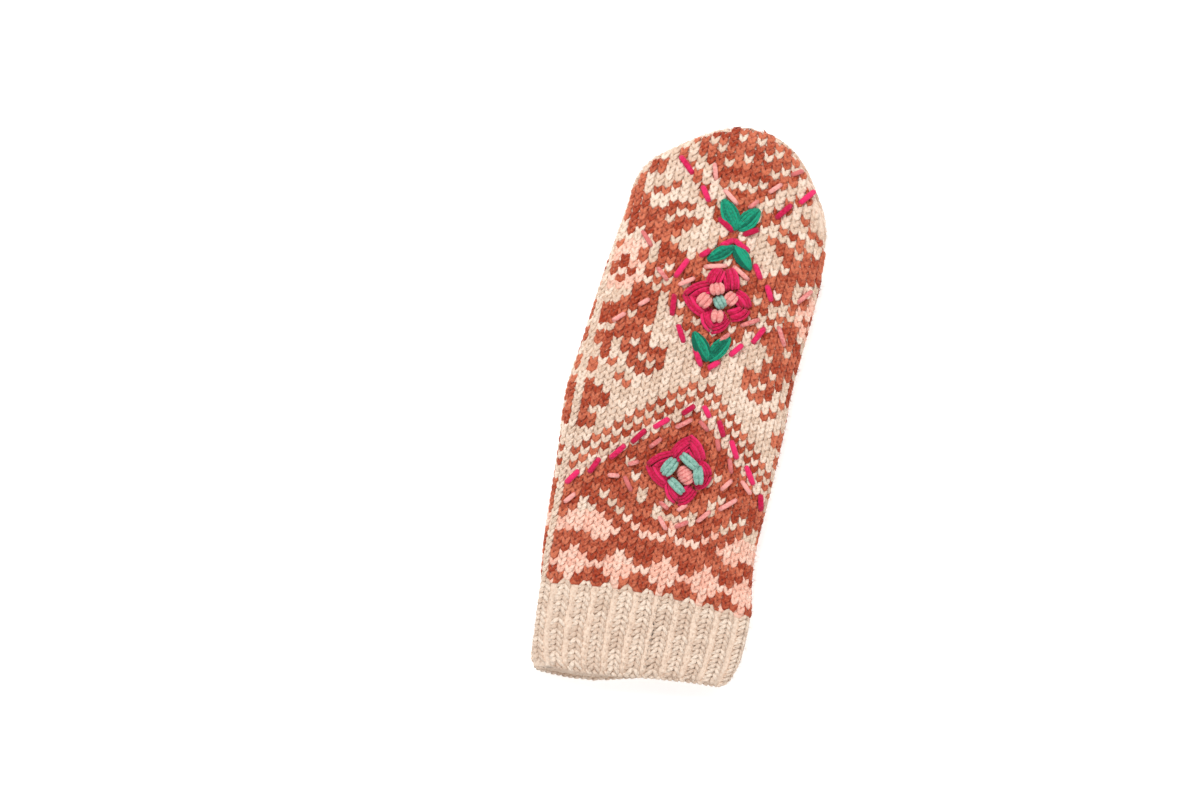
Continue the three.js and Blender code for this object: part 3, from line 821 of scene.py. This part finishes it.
# Half width of the middle diamond on rows 31 to 52, and its light stitches
MIDDLE_HALF_WIDTH = dict(zip(range(31, 53), (
    0, 0, 1, 1, 1, 2, 3, 3, 4, 5, 5, 5, 5, 5, 5, 4, 3, 2, 1, 1, 0, 0,
)))
MIDDLE_DOTS = ((0, 47), (2, 45), (4, 43), (4, 40), (2, 38), (0, 37))
# Rust rows of the side leaves, from the first to the last, in each column from the middle
SIDE_LEAVES = {
    4: ((52, 52),),
    5: ((31, 33), (41, 47), (51, 52), (54, 54)),
    6: ((30, 30), (32, 33), (42, 42), (44, 44), (46, 48), (50, 52), (54, 54)),
    7: ((30, 31), (33, 35), (37, 41), (43, 43), (45, 51), (53, 54), (57, 57)),
    8: ((28, 28), (31, 33), (35, 42), (44, 45), (49, 53), (56, 56)),
    9: ((29, 29), (33, 37), (39, 42), (46, 47), (50, 53), (56, 56), (59, 60)),
    10: ((25, 26), (31, 31), (35, 40), (44, 44), (51, 55), (59, 60)),
    11: ((22, 23), (25, 27), (32, 35), (37, 39), (43, 43), (45, 46), (50, 58)),
    12: ((22, 28), (30, 31), (34, 35), (37, 39), (44, 45), (48, 48), (52, 56)),
    13: ((22, 24), (28, 29), (38, 40)),
}
# Stitches beside the middle diamond that are knitted otherwise on the little-finger side
OTHER_RUST = ((5, 39), (6, 38), (6, 39), (6, 41), (7, 42))
OTHER_LIGHT = ((5, 40), (5, 41), (6, 42), (7, 41), (7, 43))
# The dome at the fingertips: its first row, the row at which it reaches a column to each side of
# its middle, that middle, the columns that it gains with each row, how far out from its slope the
# rust line lies, and its light stitches
DOME_FIRST, DOME_ROW, DOME_MIDDLE, DOME_SLOPE, DOME_LINE = 53, 55, 0.3, 0.62, (2.7, 3.8)
DOME_DOTS = (
    (-1, 58), (0, 58), (1, 58), (2, 59), (3, 61), (4, 62), (-2, 61), (-3, 63), (0, 62), (2, 63),
    (-1, 65), (1, 65), (5, 63), (-4, 64), (3, 64),
)


def is_light(column, row):
    """Whether a stitch of the chart is in the light yarn."""
    c = abs(column)
    if row < len(ZIGZAG):
        return min(c % PEAK_EVERY, PEAK_EVERY - c % PEAK_EVERY) <= ZIGZAG[row]
    border = row + c
    if border < BORDER_LIGHT[0]:
        if c in SIDE_HILLS and SIDE_HILLS[c][0] <= row <= SIDE_HILLS[c][1]:
            return True
        return (c, row) in LOWER_LINES or (column, row) in LOWER_SPECKS
    if border <= BORDER_RUST[-1]:
        return border != BORDER_RUST[0] if c == 0 else border in BORDER_LIGHT
    if (column, row) in OTHER_RUST + OTHER_LIGHT:
        return (column, row) in OTHER_LIGHT
    if any(first <= row <= last for first, last in SIDE_LEAVES.get(c, ())):
        return False
    if row >= DOME_FIRST:
        out = abs(column - DOME_MIDDLE) - DOME_SLOPE * (row - DOME_ROW)
        if out < 1:
            return (column, row) in DOME_DOTS
        return not DOME_LINE[0] <= out < DOME_LINE[1]
    if row in MIDDLE_HALF_WIDTH and c <= MIDDLE_HALF_WIDTH[row]:
        return (c, row) in MIDDLE_DOTS
    return True


# Light stitches are pink on the first rows, and in the flowers at both edges
PINK_BELOW = 10
PINK_COLUMN, PINK_ROWS = 9, range(42, 49)
PALM_NARROWS_Y = 205.0


def back_column(column, row):
    """Place across the back and width of a stitch."""
    width = float(column_width(column, ROW * row))
    return column * width, width


def palm_column(column, row):
    """Place across the palm and width of a stitch."""
    width = palm_half(min(FIRST_ROW_Y + ROW * row, PALM_NARROWS_Y)) / BAND
    return column * width, width


def face_places(place_column, half_width, end_y):
    """Places of a face's stitches by yarn: rust, pink and cream."""
    places = {"rust": [], "pink": [], "cream": []}
    for row in range(int((BACK_END_Y - FIRST_ROW_Y) / ROW) + 1):
        for column in range(1 - BAND, BAND):
            s, width = place_column(column, row)
            y = FIRST_ROW_Y + ROW * row - droop(s)
            reach = half_width(np.sign(s) or 1, y + ROW / 2) - BAND_MARGIN * width
            if y > end_y or abs(s) > reach:
                continue
            pink = row < PINK_BELOW or (abs(column) >= PINK_COLUMN and row in PINK_ROWS)
            yarn = "rust" if not is_light(column, row) else "pink" if pink else "cream"
            places[yarn].append((s, ROW * row, 0, 0, width / COLUMN_RIGHT, 1, 1))
    return places


def band_places(side):
    """Stitches along the light band at one side, each turned along it."""
    y = np.linspace(FIRST_ROW_Y - 6, HAND_LENGTH, 500)
    s = side * seam(side, y)
    t = y + droop(s, y - FIRST_ROW_Y) - FIRST_ROW_Y
    s, t = np.append(s, 0), np.append(t, HAND_LENGTH + 0.3 - FIRST_ROW_Y)
    length = np.concatenate(([0], np.cumsum(np.hypot(np.diff(s), np.diff(t)))))
    start = np.interp(0, t, length)
    places = []
    for along_band in np.arange(start, length[-1] - BAND_END, ROW):
        (s_here, s_next), (t_here, t_next) = (
            np.interp((along_band, along_band + 1), length, axis) for axis in (s, t)
        )
        places.append((s_here, t_here, 0, math.atan2(s_here - s_next, t_next - t_here), 1, 1, 1))
    return places


cream_wool = wool("cream wool", srgb(224, 194, 171), srgb(250, 228, 210))
YARNS = {
    "rust": wool("rust wool", srgb(164, 57, 28), srgb(217, 123, 91)),
    "cream": cream_wool,
    "pink": wool("pale pink wool", srgb(248, 188, 166), srgb(255, 222, 204)),
}
hand_stitch = knit_stitch("hand_stitch")
SKIN_SPANS = (-76, 76), (-10, 236)
back_skin = wrapping_skin("back_skin", on_back, *SKIN_SPANS)
palm_skin = wrapping_skin("palm_skin", on_palm, *SKIN_SPANS)
hand_pieces = []
for face, skin, place_column, half_width, end_y in (
    ("back", back_skin, back_column, seam, BACK_END_Y),
    ("palm", palm_skin, palm_column, lambda side, y: palm_half(y), PALM_END_Y),
):
    for yarn, places in face_places(place_column, half_width, end_y).items():
        name = f"{face}_{yarn}_stitches"
        hand_pieces.append(knit(name, places, hand_stitch, skin, YARNS[yarn], 21))
side_band = band_places(-1) + band_places(1)
hand_pieces.append(knit("side_bands", side_band, hand_stitch, back_skin, cream_wool, 22))


def bag(name, rings):
    """A closed mesh object through rings of points, its first and last ring drawn to a point."""
    first, last = (
        np.repeat(ring.mean(axis=0, keepdims=True), len(ring), axis=0)
        for ring in (rings[0], rings[-1])
    )
    thing = grid_object(name, np.array([first, *rings, last]), wrap=True)
    weld(thing)
    return thing


# The ground's rings: the points in each, and in millimetres up the hand, its foot, where they
# close up for the tip, and the height up to which they follow the slant of the join
GROUND_POINTS, GROUND_FOOT, GROUND_TIP, JOIN_FADES = 130, 41.5, 250, 90


def hand_ring(tube, y):
    """A ring of the hand's ground, which starts along the join."""
    share = np.linspace(0, 1, GROUND_POINTS, endpoint=False)
    level = y + (join_line(share) - JOIN_Y) * (1 - smoothstep(y, JOIN_Y, JOIN_FADES))
    return tube.around(level, share)


ground_tube, inner_tube = hand_tube(GROUND_DEPTH), hand_tube(HAND_WALL)
ground_y = np.concatenate((
    np.arange(GROUND_FOOT, GROUND_TIP, ROW / 2), np.linspace(GROUND_TIP, HAND_LENGTH - 2, 16),
))
inner_y = np.linspace(GROUND_FOOT, HAND_LENGTH - HAND_WALL, 60)
hand_ground = bag("hand_ground", [
    *[hand_ring(ground_tube, y) for y in ground_y[::-1]],
    *[hand_ring(inner_tube, y) for y in inner_y],
])


def ground_yarn(x, y):
    """The yarn of the stitch over a point of the ground."""
    across = np.linspace(-70, 70, 141)
    line = OUTER.at(np.full_like(across, y), across)
    s, t = float(np.interp(x, line[:, 0], across)), y - FIRST_ROW_Y
    row = int(round((y + droop(s, t) - FIRST_ROW_Y - ROW / 2) / ROW))
    column = int(round(s / float(column_width(s, t))))
    if not is_light(column, max(0, row)) and abs(column) < BAND:
        return "rust"
    return "pink" if row < PINK_BELOW else "cream"


for yarn in YARNS.values():
    hand_ground.data.materials.append(yarn)
for face in hand_ground.data.polygons:
    x, y, _ = np.array(face.center) / MM - SHIFT
    face.material_index = list(YARNS).index(ground_yarn(x, y))
for piece in [piece for piece in hand_pieces if not piece.name.startswith("palm")]:
    hand_pieces.append(fuzz(piece, 24))
hand_pieces.append(hand_ground)
for piece in hand_pieces:
    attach(piece, "root")
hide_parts("hand")
for pattern_piece in (palm_skin, hand_stitch):
    bpy.data.objects.remove(pattern_piece)

# Thumb: a plain bag in the cream wool, picked up from the palm. It lies empty and flat between the
# palm and the table, with the same stitches as the hand over a ground of its own.
THUMB_COLUMN = 4.3
# How much fuller its underside is
THUMB_FAT = 0.4
# Roundness of the thumb's root and tip in plan, and of its rings across and upward
ROOT_POWER, TIP_POWER, ACROSS_POWER, UP_POWER = 5, 2.7, 0.7, 0.5


def thumb_tube(inset=0.0):
    """The flattened tube of the thumb, inset under its outside."""
    half_length = (THUMB["tip"] - THUMB["base"]) / 2
    y = np.linspace(THUMB["base"] - 4, THUMB["tip"] + 4, 90)
    reach = np.clip((y - THUMB["base"] - half_length) / (half_length - inset), -0.985, 0.995)
    power = np.where(reach < 0, ROOT_POWER, TIP_POWER)
    round_end = ((1 - np.abs(reach) ** power) ** (1 / power))[:, None]
    angle = np.linspace(0, 2 * np.pi, RING_POINTS)[None, :]
    across = np.sign(np.cos(angle)) * np.abs(np.cos(angle)) ** ACROSS_POWER
    up = np.sign(np.sin(angle)) * np.abs(np.sin(angle)) ** UP_POWER
    half_height = THUMB["height"] / 2 - inset + np.where(up < 0, THUMB_FAT, 0)
    x = THUMB["x"] + (THUMB["half_width"] - inset) * across * round_end
    z = np.maximum(inset, THUMB["height"] / 2 + half_height * up * np.sqrt(round_end))
    return Tube(y, x, z, THUMB["x"])


thumb_skin = thumb_tube(STITCH_RISE)
thumb_stitch = knit_stitch("thumb_stitch")
thumb_pieces = []
THUMB_FOOT_Y, THUMB_END_Y = THUMB["base"] - 2, THUMB["tip"] - 1.2 - 2
# Rows of the thumb, its columns to each side, the first row's place over the foot, and the share of
# its width that a stitch keeps from the side
THUMB_ROWS, THUMB_SIDE, THUMB_FIRST_ROW, THUMB_MARGIN = 22, 5, 1.5, 0.2

for face, turn in (("top", 0.0), ("under", 0.5)):
    def on_thumb(s, t, turn=turn):
        y = THUMB_FOOT_Y + t
        return thumb_skin.at(y, turn * thumb_skin.girth(y) + s)

    skin = wrapping_skin(f"thumb_{face}_skin", on_thumb, (-28, 28), (-1.5, 81), 1.5)
    places = []
    for row in range(THUMB_ROWS):
        for column in range(-THUMB_SIDE, THUMB_SIDE + 1):
            s, t = column * THUMB_COLUMN, row * ROW + THUMB_FIRST_ROW
            y = THUMB_FOOT_Y + t
            reach = thumb_skin.girth(y + ROW / 2) / 4 - THUMB_MARGIN * THUMB_COLUMN
            if abs(s) < reach and y < THUMB_END_Y:
                places.append((s, t, 0, 0, THUMB_COLUMN / COLUMN_RIGHT, 1, 1))
    thumb_pieces.append(knit(f"thumb_{face}_stitches", places, thumb_stitch, skin, cream_wool, 31))
    bpy.data.objects.remove(skin)
bpy.data.objects.remove(thumb_stitch)
ground_tube, round_thumb = thumb_tube(GROUND_DEPTH), np.linspace(0, 1, 60, endpoint=False)
thumb_ground = bag("thumb_ground", [
    ground_tube.around(np.full_like(round_thumb, y), round_thumb)
    for y in np.linspace(THUMB["base"] + 2, THUMB["tip"] - 2, 40)
])
thumb_ground.data.materials.append(cream_wool)
thumb_pieces.append(thumb_ground)
for piece in thumb_pieces:
    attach(piece, "root")
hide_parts("thumb")

# Upper flower: four petals of magenta wool in satin stitch on the middle diamond. Each petal is
# two bundles of threads that meet at its point; a pink knot fills the gap between them, and an
# aqua knot is the flower's eye.

# Height of the back's outside on a plan of half-millimetre columns and millimetre rows
PLAN_X, PLAN_Y = np.arange(-60, 60.1, 0.5), np.arange(30, 268, 1.0)
PLAN_HEIGHT = np.empty((len(PLAN_Y), len(PLAN_X)))
over_back = np.linspace(-75, 75, 301)
for i, y in enumerate(PLAN_Y):
    on_side = np.clip(over_back, -OUTER.edge(-1, y), OUTER.edge(1, y))
    line = OUTER.at(np.full_like(over_back, y), on_side)
    PLAN_HEIGHT[i] = np.interp(PLAN_X, line[:, 0], line[:, 2])
THREAD_TALL = 1.1


def laid_thread(points, heights, wide):
    """A thread laid on the back through plan points, at heights over the stitches."""
    path = []
    for (x, y), height in zip(points, heights):
        i = int(np.clip(round(y - PLAN_Y[0]), 0, len(PLAN_Y) - 1))
        path.append((x, y, float(np.interp(x, PLAN_X, PLAN_HEIGHT[i])) + height))
    swell = np.sin(np.linspace(0.25, 0.75, len(path) - 2) * np.pi) ** 0.5
    return strand(path, wide * swell, THREAD_TALL * swell, 6)


def polar(flower, radius, angle):
    """The plan point at a radius and an angle from a flower's middle."""
    return np.array((flower[0] + radius * math.cos(angle), flower[1] + radius * math.sin(angle)))


# Shares of a satin thread's length at which its path is drawn, and how much the tones differ
THREAD_STEPS = (0, 0.04, 0.14, 0.3, 0.5, 0.7, 0.86, 0.96, 1)
SATIN_TONES = 1.1
# A bundle of a petal: its threads, their half width, how deep they dive at both ends, and how
# unevenly they start, end and rise
PETAL_THREADS, PETAL_HALF, PETAL_DIVE = 5, 0.92, 0.9
START_UNEVEN, END_UNEVEN, RISE_UNEVEN = 0.4, 0.3, 0.25
# Where they start: the outermost thread just past the petal's reach, and the innermost so much
# nearer to the flower's middle, less where the end is blunt
PAST_REACH, STARTS_NEARER, BLUNT_LESS = 0.3, 6.6, 1.2
# Where they end, in shares of the petal's spread and notch: the outermost, and how much less for
# the innermost, with more where the end is blunt
CORNER, CORNER_LESS, BLUNT_MORE = 1.12, 0.1, 0.13
NOTCH, NOTCH_LESS = 1.02, 0.46
# How far the innermost bows out and how much more the outermost, and how plump they lie at the
# least and how much more in the middle of the bundle
BOW, BOW_MORE, PLUMP, PLUMP_MORE = 0.3, 1.2, 1.3, 0.8


def petal(node, flower, turn, spread, reach, notch, blunt):
    """The two bundles of a petal. Their threads start side by side along its outer end, which is
    pointed or blunt, and run back to the corners beside the flower's middle."""
    name = f"{node}_threads"
    turn, spread = math.radians(turn), math.radians(spread)
    strands, chance = [], np.random.default_rng(len(name) + PETAL_THREADS)
    for side in (-1, 1):
        for share in (k / (PETAL_THREADS - 1) for k in range(PETAL_THREADS)):
            away = reach + PAST_REACH - (STARTS_NEARER - BLUNT_LESS * blunt) * share
            aside = math.atan2(blunt * (1 - share) - 0.3, away)
            start = polar(flower, away, turn + side * aside)
            corner = spread * (CORNER - (CORNER_LESS + BLUNT_MORE * blunt) * share)
            end = polar(flower, notch * (NOTCH - NOTCH_LESS * share), turn + side * corner)
            bow = polar((0, 0), BOW_MORE * (1 - share) + BOW, turn + side * spread)
            start = start + chance.uniform(-START_UNEVEN, START_UNEVEN, 2)
            end = end + chance.uniform(-END_UNEVEN, END_UNEVEN, 2)
            points = [
                start * (1 - u) + end * u + bow * math.sin(math.pi * u) for u in THREAD_STEPS
            ]
            plump = PLUMP + PLUMP_MORE * math.sin(math.pi * (share * 0.7 + 0.15))
            lifted = PETAL_DIVE + plump + chance.uniform(-RISE_UNEVEN, RISE_UNEVEN)
            heights = [lifted * math.sin(math.pi * u) ** 0.3 - PETAL_DIVE for u in THREAD_STEPS]
            strands.append(laid_thread(points, heights, PETAL_HALF))
    tones = chance.uniform(-SATIN_TONES, SATIN_TONES, len(strands))
    piece = yarn_object(name, strands, SHIFT, tones)
    piece.data.materials.append(magenta_wool)
    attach(piece, "root")
    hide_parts(node)


# Wraps: the spacings left over at the ends, how round a knot is along its length, the share of its
# place along it that a wrap keeps where it dives and what it gains over the top, how deep it
# dives, and its half width and half height as shares of the spacing and of the half width
SPACING_LEFT, KNOT_ROUND, PLACE_KEPT, PLACE_GAINED = 0.35, 1.7, 0.55, 0.45
WRAP_DIVE, WRAP_HALF, WRAP_TALL = 0.7, 0.58, 0.8


def wraps(node, turn, length, width, count, yarn, slot, aside=0.0, lengthwise=False):
    """Yarn wound side by side over the place of a knot or bar of the frame, or aside of it along
    X: arches over its width, or along its length."""
    low, high = (np.array(corner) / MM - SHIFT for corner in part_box(node))
    middle = (low + high) / 2 + (aside, 0, 0)
    turn = math.radians(turn)
    run = np.array((math.cos(turn), math.sin(turn)))
    over = np.array((-math.sin(turn), math.cos(turn)))
    if lengthwise:
        run, over, length, width = over, run, width, length
    strands = []
    spacing = length / (count + SPACING_LEFT)
    for k in range(count):
        away = (k - (count - 1) / 2) * spacing
        fall = math.sqrt(1 - (KNOT_ROUND * away / length) ** 2)
        path = []
        for u in np.linspace(0, 1, 9):
            bulge, swing = math.sin(math.pi * u), math.cos(math.pi * u)
            along_run = run * away * (PLACE_KEPT + PLACE_GAINED * bulge)
            spot = middle[:2] + along_run + over * swing * width / 2 * fall
            rise = (high[2] - low[2]) * fall * bulge ** 0.55
            path.append((*spot, low[2] - WRAP_DIVE + rise))
        half = spacing * WRAP_HALF * np.sin(np.linspace(0.2, 0.8, 7) * np.pi) ** 0.4
        strands.append(strand(path, half, half * WRAP_TALL, 8))
    piece = yarn_object(f"{node}_wraps", strands, SHIFT)
    piece.data.materials.append(yarn)
    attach(piece, "root")
    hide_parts(node)


magenta_wool = wool("magenta satin wool", srgb(188, 12, 64), srgb(236, 42, 106), 0.8, 3.0)
salmon_wool = wool("salmon pink wool", srgb(214, 114, 112), srgb(250, 176, 168), 0.8, 3.0)
aqua_wool = wool("pale aqua wool", srgb(96, 152, 138), srgb(164, 204, 190), 0.8, 3.0)

UPPER_FLOWER = (6.6, 184.4)
# Petals, in degrees from +X and millimetres from the middle: place, turn, spread, reach,
# notch and half width of a blunt end
UPPER_PETALS = (
    ("fingertip", 94, 42, 16.6, 10.4, 4.0),
    ("thumb_side", 180, 42, 17.4, 11.0, 0.6),
    ("cuff_side", 264, 40, 14.6, 9.6, 0.4),
    ("outer_side", -1, 43, 14.6, 10.0, 1.2),
)
# Knots: place, turn of the wraps in degrees, length and width in millimetres, wraps, aside
UPPER_KNOTS = (
    ("fingertip", 20, 8.0, 4.8, 3, -0.9),
    ("thumb_side", 150, 7.6, 6.0, 3, -0.5),
    ("cuff_side", 5, 6.8, 4.8, 2, -0.8),
    ("outer_side", -30, 7.0, 5.8, 3, -1.8),
)
for place, *sizes in UPPER_PETALS:
    petal(f"upper_petal_{place}", UPPER_FLOWER, *sizes)
for place, *sizes, aside in UPPER_KNOTS:
    wraps(f"upper_knot_{place}", *sizes, salmon_wool, "pink_yarn", aside)
wraps("upper_eye", 40, 6.6, 6.2, 3, aqua_wool, "aqua_yarn", -0.8)

# Lower flower: the same petals in magenta wool on the large diamond. Four bars wound in aqua wool
# lie round its pink middle, which is wound crosswise.
LOWER_FLOWER = (6.7, 101.4)
LOWER_PETALS = (
    ("fingertip", 93, 42, 17.8, 11.4, 0.4),
    ("thumb_side", 179, 42, 18.2, 11.6, 0.8),
    ("cuff_side", 266, 42, 14.8, 9.8, 1.0),
    ("outer_side", 5, 44, 12.2, 9.0, 0.6),
)
# Bars: place, turn in degrees, length and width in millimetres, threads, aside
LOWER_BARS = (
    ("fingertip", -30, 10.4, 5.4, 2, 0.0),
    ("thumb_side", 62, 9.4, 7.0, 3, 0.0),
    ("cuff_side", -35, 9.6, 5.0, 2, 0.8),
    ("outer_side", 105, 9.0, 5.6, 2, -1.2),
)
for place, *sizes in LOWER_PETALS:
    petal(f"lower_petal_{place}", LOWER_FLOWER, *sizes)
for place, *sizes, aside in LOWER_BARS:
    wraps(f"lower_bar_{place}", *sizes, aqua_wool, "aqua_yarn", aside, lengthwise=True)
wraps("lower_middle", -48, 10.0, 6.8, 5, salmon_wool, "pink_yarn")

# Leaves: three pairs of pointed leaves in green wool, over and under the upper flower. Each is
# laid in satin stitch, with threads from the stem to the tip.
green_wool = wool("leaf green wool", srgb(0, 100, 78), srgb(22, 160, 124), 0.8, 3.0)
# Root and tip in millimetres and half width: name, x, y, x, y, half width
LEAVES = (
    ("top_leaf_left", 8.0, 220.0, -1.6, 233.4, 4.6),
    ("top_leaf_right", 8.2, 220.0, 16.6, 231.6, 4.6),
    ("middle_leaf_left", 7.8, 212.2, -3.6, 203.0, 3.2),
    ("middle_leaf_right", 7.6, 212.2, 17.6, 202.2, 3.6),
    ("low_leaf_left", 7.0, 156.0, -2.8, 168.4, 4.0),
    ("low_leaf_right", 6.8, 156.0, 14.8, 169.4, 4.0),
)
# Threads of a leaf, their half width, how deep they dive, how high they rise from there at the
# edge and how much higher in the middle, the share of the leaf's width that their middle lines
# fill, and how far they all lie aside
LEAF_THREADS, LEAF_HALF, LEAF_DIVE = 6, 0.85, 0.8
LEAF_RISE, LEAF_CROWN, LEAF_FILL, LEAF_ASIDE = 1.9, 0.7, 0.8, 0.25
THREAD_TONES = 1.4
chance = np.random.default_rng(61)
for name, x, y, tip_x, tip_y, half_width in LEAVES:
    root, tip = np.array((x, y)), np.array((tip_x, tip_y))
    across = np.array((y - tip_y, tip_x - x)) / np.linalg.norm(tip - root)
    strands = []
    for k in range(LEAF_THREADS):
        t = 2 * k / (LEAF_THREADS - 1) - 1
        points, heights = [], []
        for u in THREAD_STEPS:
            bulge = LEAF_ASIDE + half_width * math.sin(math.pi * u ** 0.9) ** 0.8 * t * LEAF_FILL
            points.append(root * (1 - u) + tip * u + across * bulge)
            lifted = (LEAF_RISE + LEAF_CROWN * (1 - t * t)) * math.sin(math.pi * u) ** 0.4
            heights.append(lifted - LEAF_DIVE)
        strands.append(laid_thread(points, heights, LEAF_HALF))
    tones = chance.uniform(-THREAD_TONES, THREAD_TONES, LEAF_THREADS)
    piece = yarn_object(f"{name}_threads", strands, SHIFT, tones)
    piece.data.materials.append(green_wool)
    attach(piece, "root")
    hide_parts(name)

# Running stitches: single straight stitches of magenta and salmon wool that outline the
# diamonds and trail round the flowers. They lie on the knitting and dive into it at both ends.

# Shares of a stitch's length at which its path is drawn, and their heights
RUN_STEPS = (0, 0.03, 0.14, 0.36, 0.64, 0.86, 0.97, 1)
RUN_HEIGHTS = (-1.6, -0.2, 0.85, 1.2, 1.2, 0.85, -0.2, -1.6)
PLAN_COLUMN = 4.254
# Ends of each stitch in columns from the middle and rows from the cuff: column, row, column, row
MAGENTA_STITCHES = (
    (-1.9, 53.6, -0.1, 52.2), (2.7, 53.2, 1.2, 52.0), (-1.1, 49.8, 0.2, 51.0),
    (0.2, 51.0, 2.1, 49.9), (-3.1, 47.8, -2.2, 48.8), (-5.4, 44.2, -4.4, 46.9),
    (-5.1, 41.7, -4.9, 38.8), (-4.0, 37.6, -3.0, 35.4), (-1.7, 35.0, -0.6, 32.6),
    (0.3, 32.5, 1.3, 33.7), (2.4, 34.9, 3.5, 36.7), (4.6, 37.3, 5.6, 39.7),
    (5.7, 43.7, 4.9, 45.6), (4.0, 46.4, 3.1, 48.2), (-0.4, 26.9, -1.5, 25.5),
    (-2.9, 24.4, -4.3, 22.8), (-5.2, 22.2, -6.4, 20.1), (-7.1, 19.5, -8.4, 17.3),
    (-9.6, 16.9, -10.4, 14.7), (-11.6, 14.6, -12.7, 12.6), (0.7, 27.1, 1.5, 25.8),
    (2.7, 25.5, 3.5, 23.5), (4.5, 23.1, 5.5, 20.8), (6.7, 20.0, 7.9, 17.7),
    (9.0, 16.4, 9.4, 14.3), (-7.5, 61.2, -5.8, 59.1), (-4.4, 57.6, -3.4, 55.7),
    (8.1, 60.3, 6.7, 58.1), (5.8, 57.6, 4.4, 55.3),
)
SALMON_STITCHES = (
    (-2.4, 46.4, 0.0, 47.2), (0.8, 47.3, 2.7, 45.9), (-0.4, 24.9, -1.9, 23.4),
    (0.6, 24.9, 1.6, 23.9), (-3.3, 21.4, -4.3, 20.0), (2.9, 22.8, 3.3, 21.5),
    (4.7, 20.5, 5.2, 18.7), (-5.3, 17.6, -6.2, 17.0), (5.4, 17.6, 4.5, 16.1),
    (6.6, 17.8, 7.8, 16.3), (-7.1, 15.1, -8.2, 14.9), (-6.4, 15.1, -5.4, 13.4),
    (6.4, 15.1, 4.7, 13.2), (1.0, 13.0, 0.2, 12.0), (3.7, 12.7, 2.6, 11.0),
    (-1.9, 12.6, -1.0, 11.9), (-11.5, 11.3, -12.4, 9.9), (-1.7, 10.5, -0.7, 9.0),
    (1.5, 10.6, 0.3, 9.6), (-3.3, 44.5, -4.8, 43.2), (-7.5, 44.9, -6.2, 43.5),
    (-10.0, 49.6, -8.7, 47.8), (8.7, 44.2, 10.0, 46.2), (1.8, 37.8, 0.7, 36.3),
    (4.8, 40.7, 2.9, 39.3), (7.1, 40.3, 8.2, 37.8), (-8.7, 39.3, -7.8, 40.3),
    (-11.2, 36.4, -10.1, 37.7), (6.3, 62.7, 5.2, 61.8), (4.2, 60.1, 3.1, 58.7),
    (2.0, 57.1, 1.2, 55.9), (-1.9, 57.7, -0.2, 56.1), (-3.6, 61.1, -3.1, 59.0),
)


def plan_spot(column, row):
    """The plan point of a place in columns and rows."""
    return np.array((CENTRE_X + PLAN_COLUMN * column, FIRST_ROW_Y + ROW * row))


for name, stitches, half_width, yarn, slot in (
    ("magenta_running_stitches", MAGENTA_STITCHES, 1.55, magenta_wool, "magenta_yarn"),
    ("salmon_running_stitches", SALMON_STITCHES, 1.25, salmon_wool, "pink_yarn"),
):
    strands = []
    for column, row, to_column, to_row in stitches:
        start, end = plan_spot(column, row), plan_spot(to_column, to_row)
        points = [start * (1 - u) + end * u for u in RUN_STEPS]
        strands.append(laid_thread(points, RUN_HEIGHTS, half_width))
    tones = chance.uniform(-THREAD_TONES, THREAD_TONES, len(strands))
    piece = yarn_object(name, strands, SHIFT, tones)
    piece.data.materials.append(yarn)
    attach(piece, "root")
bpy.data.objects.remove(back_skin)
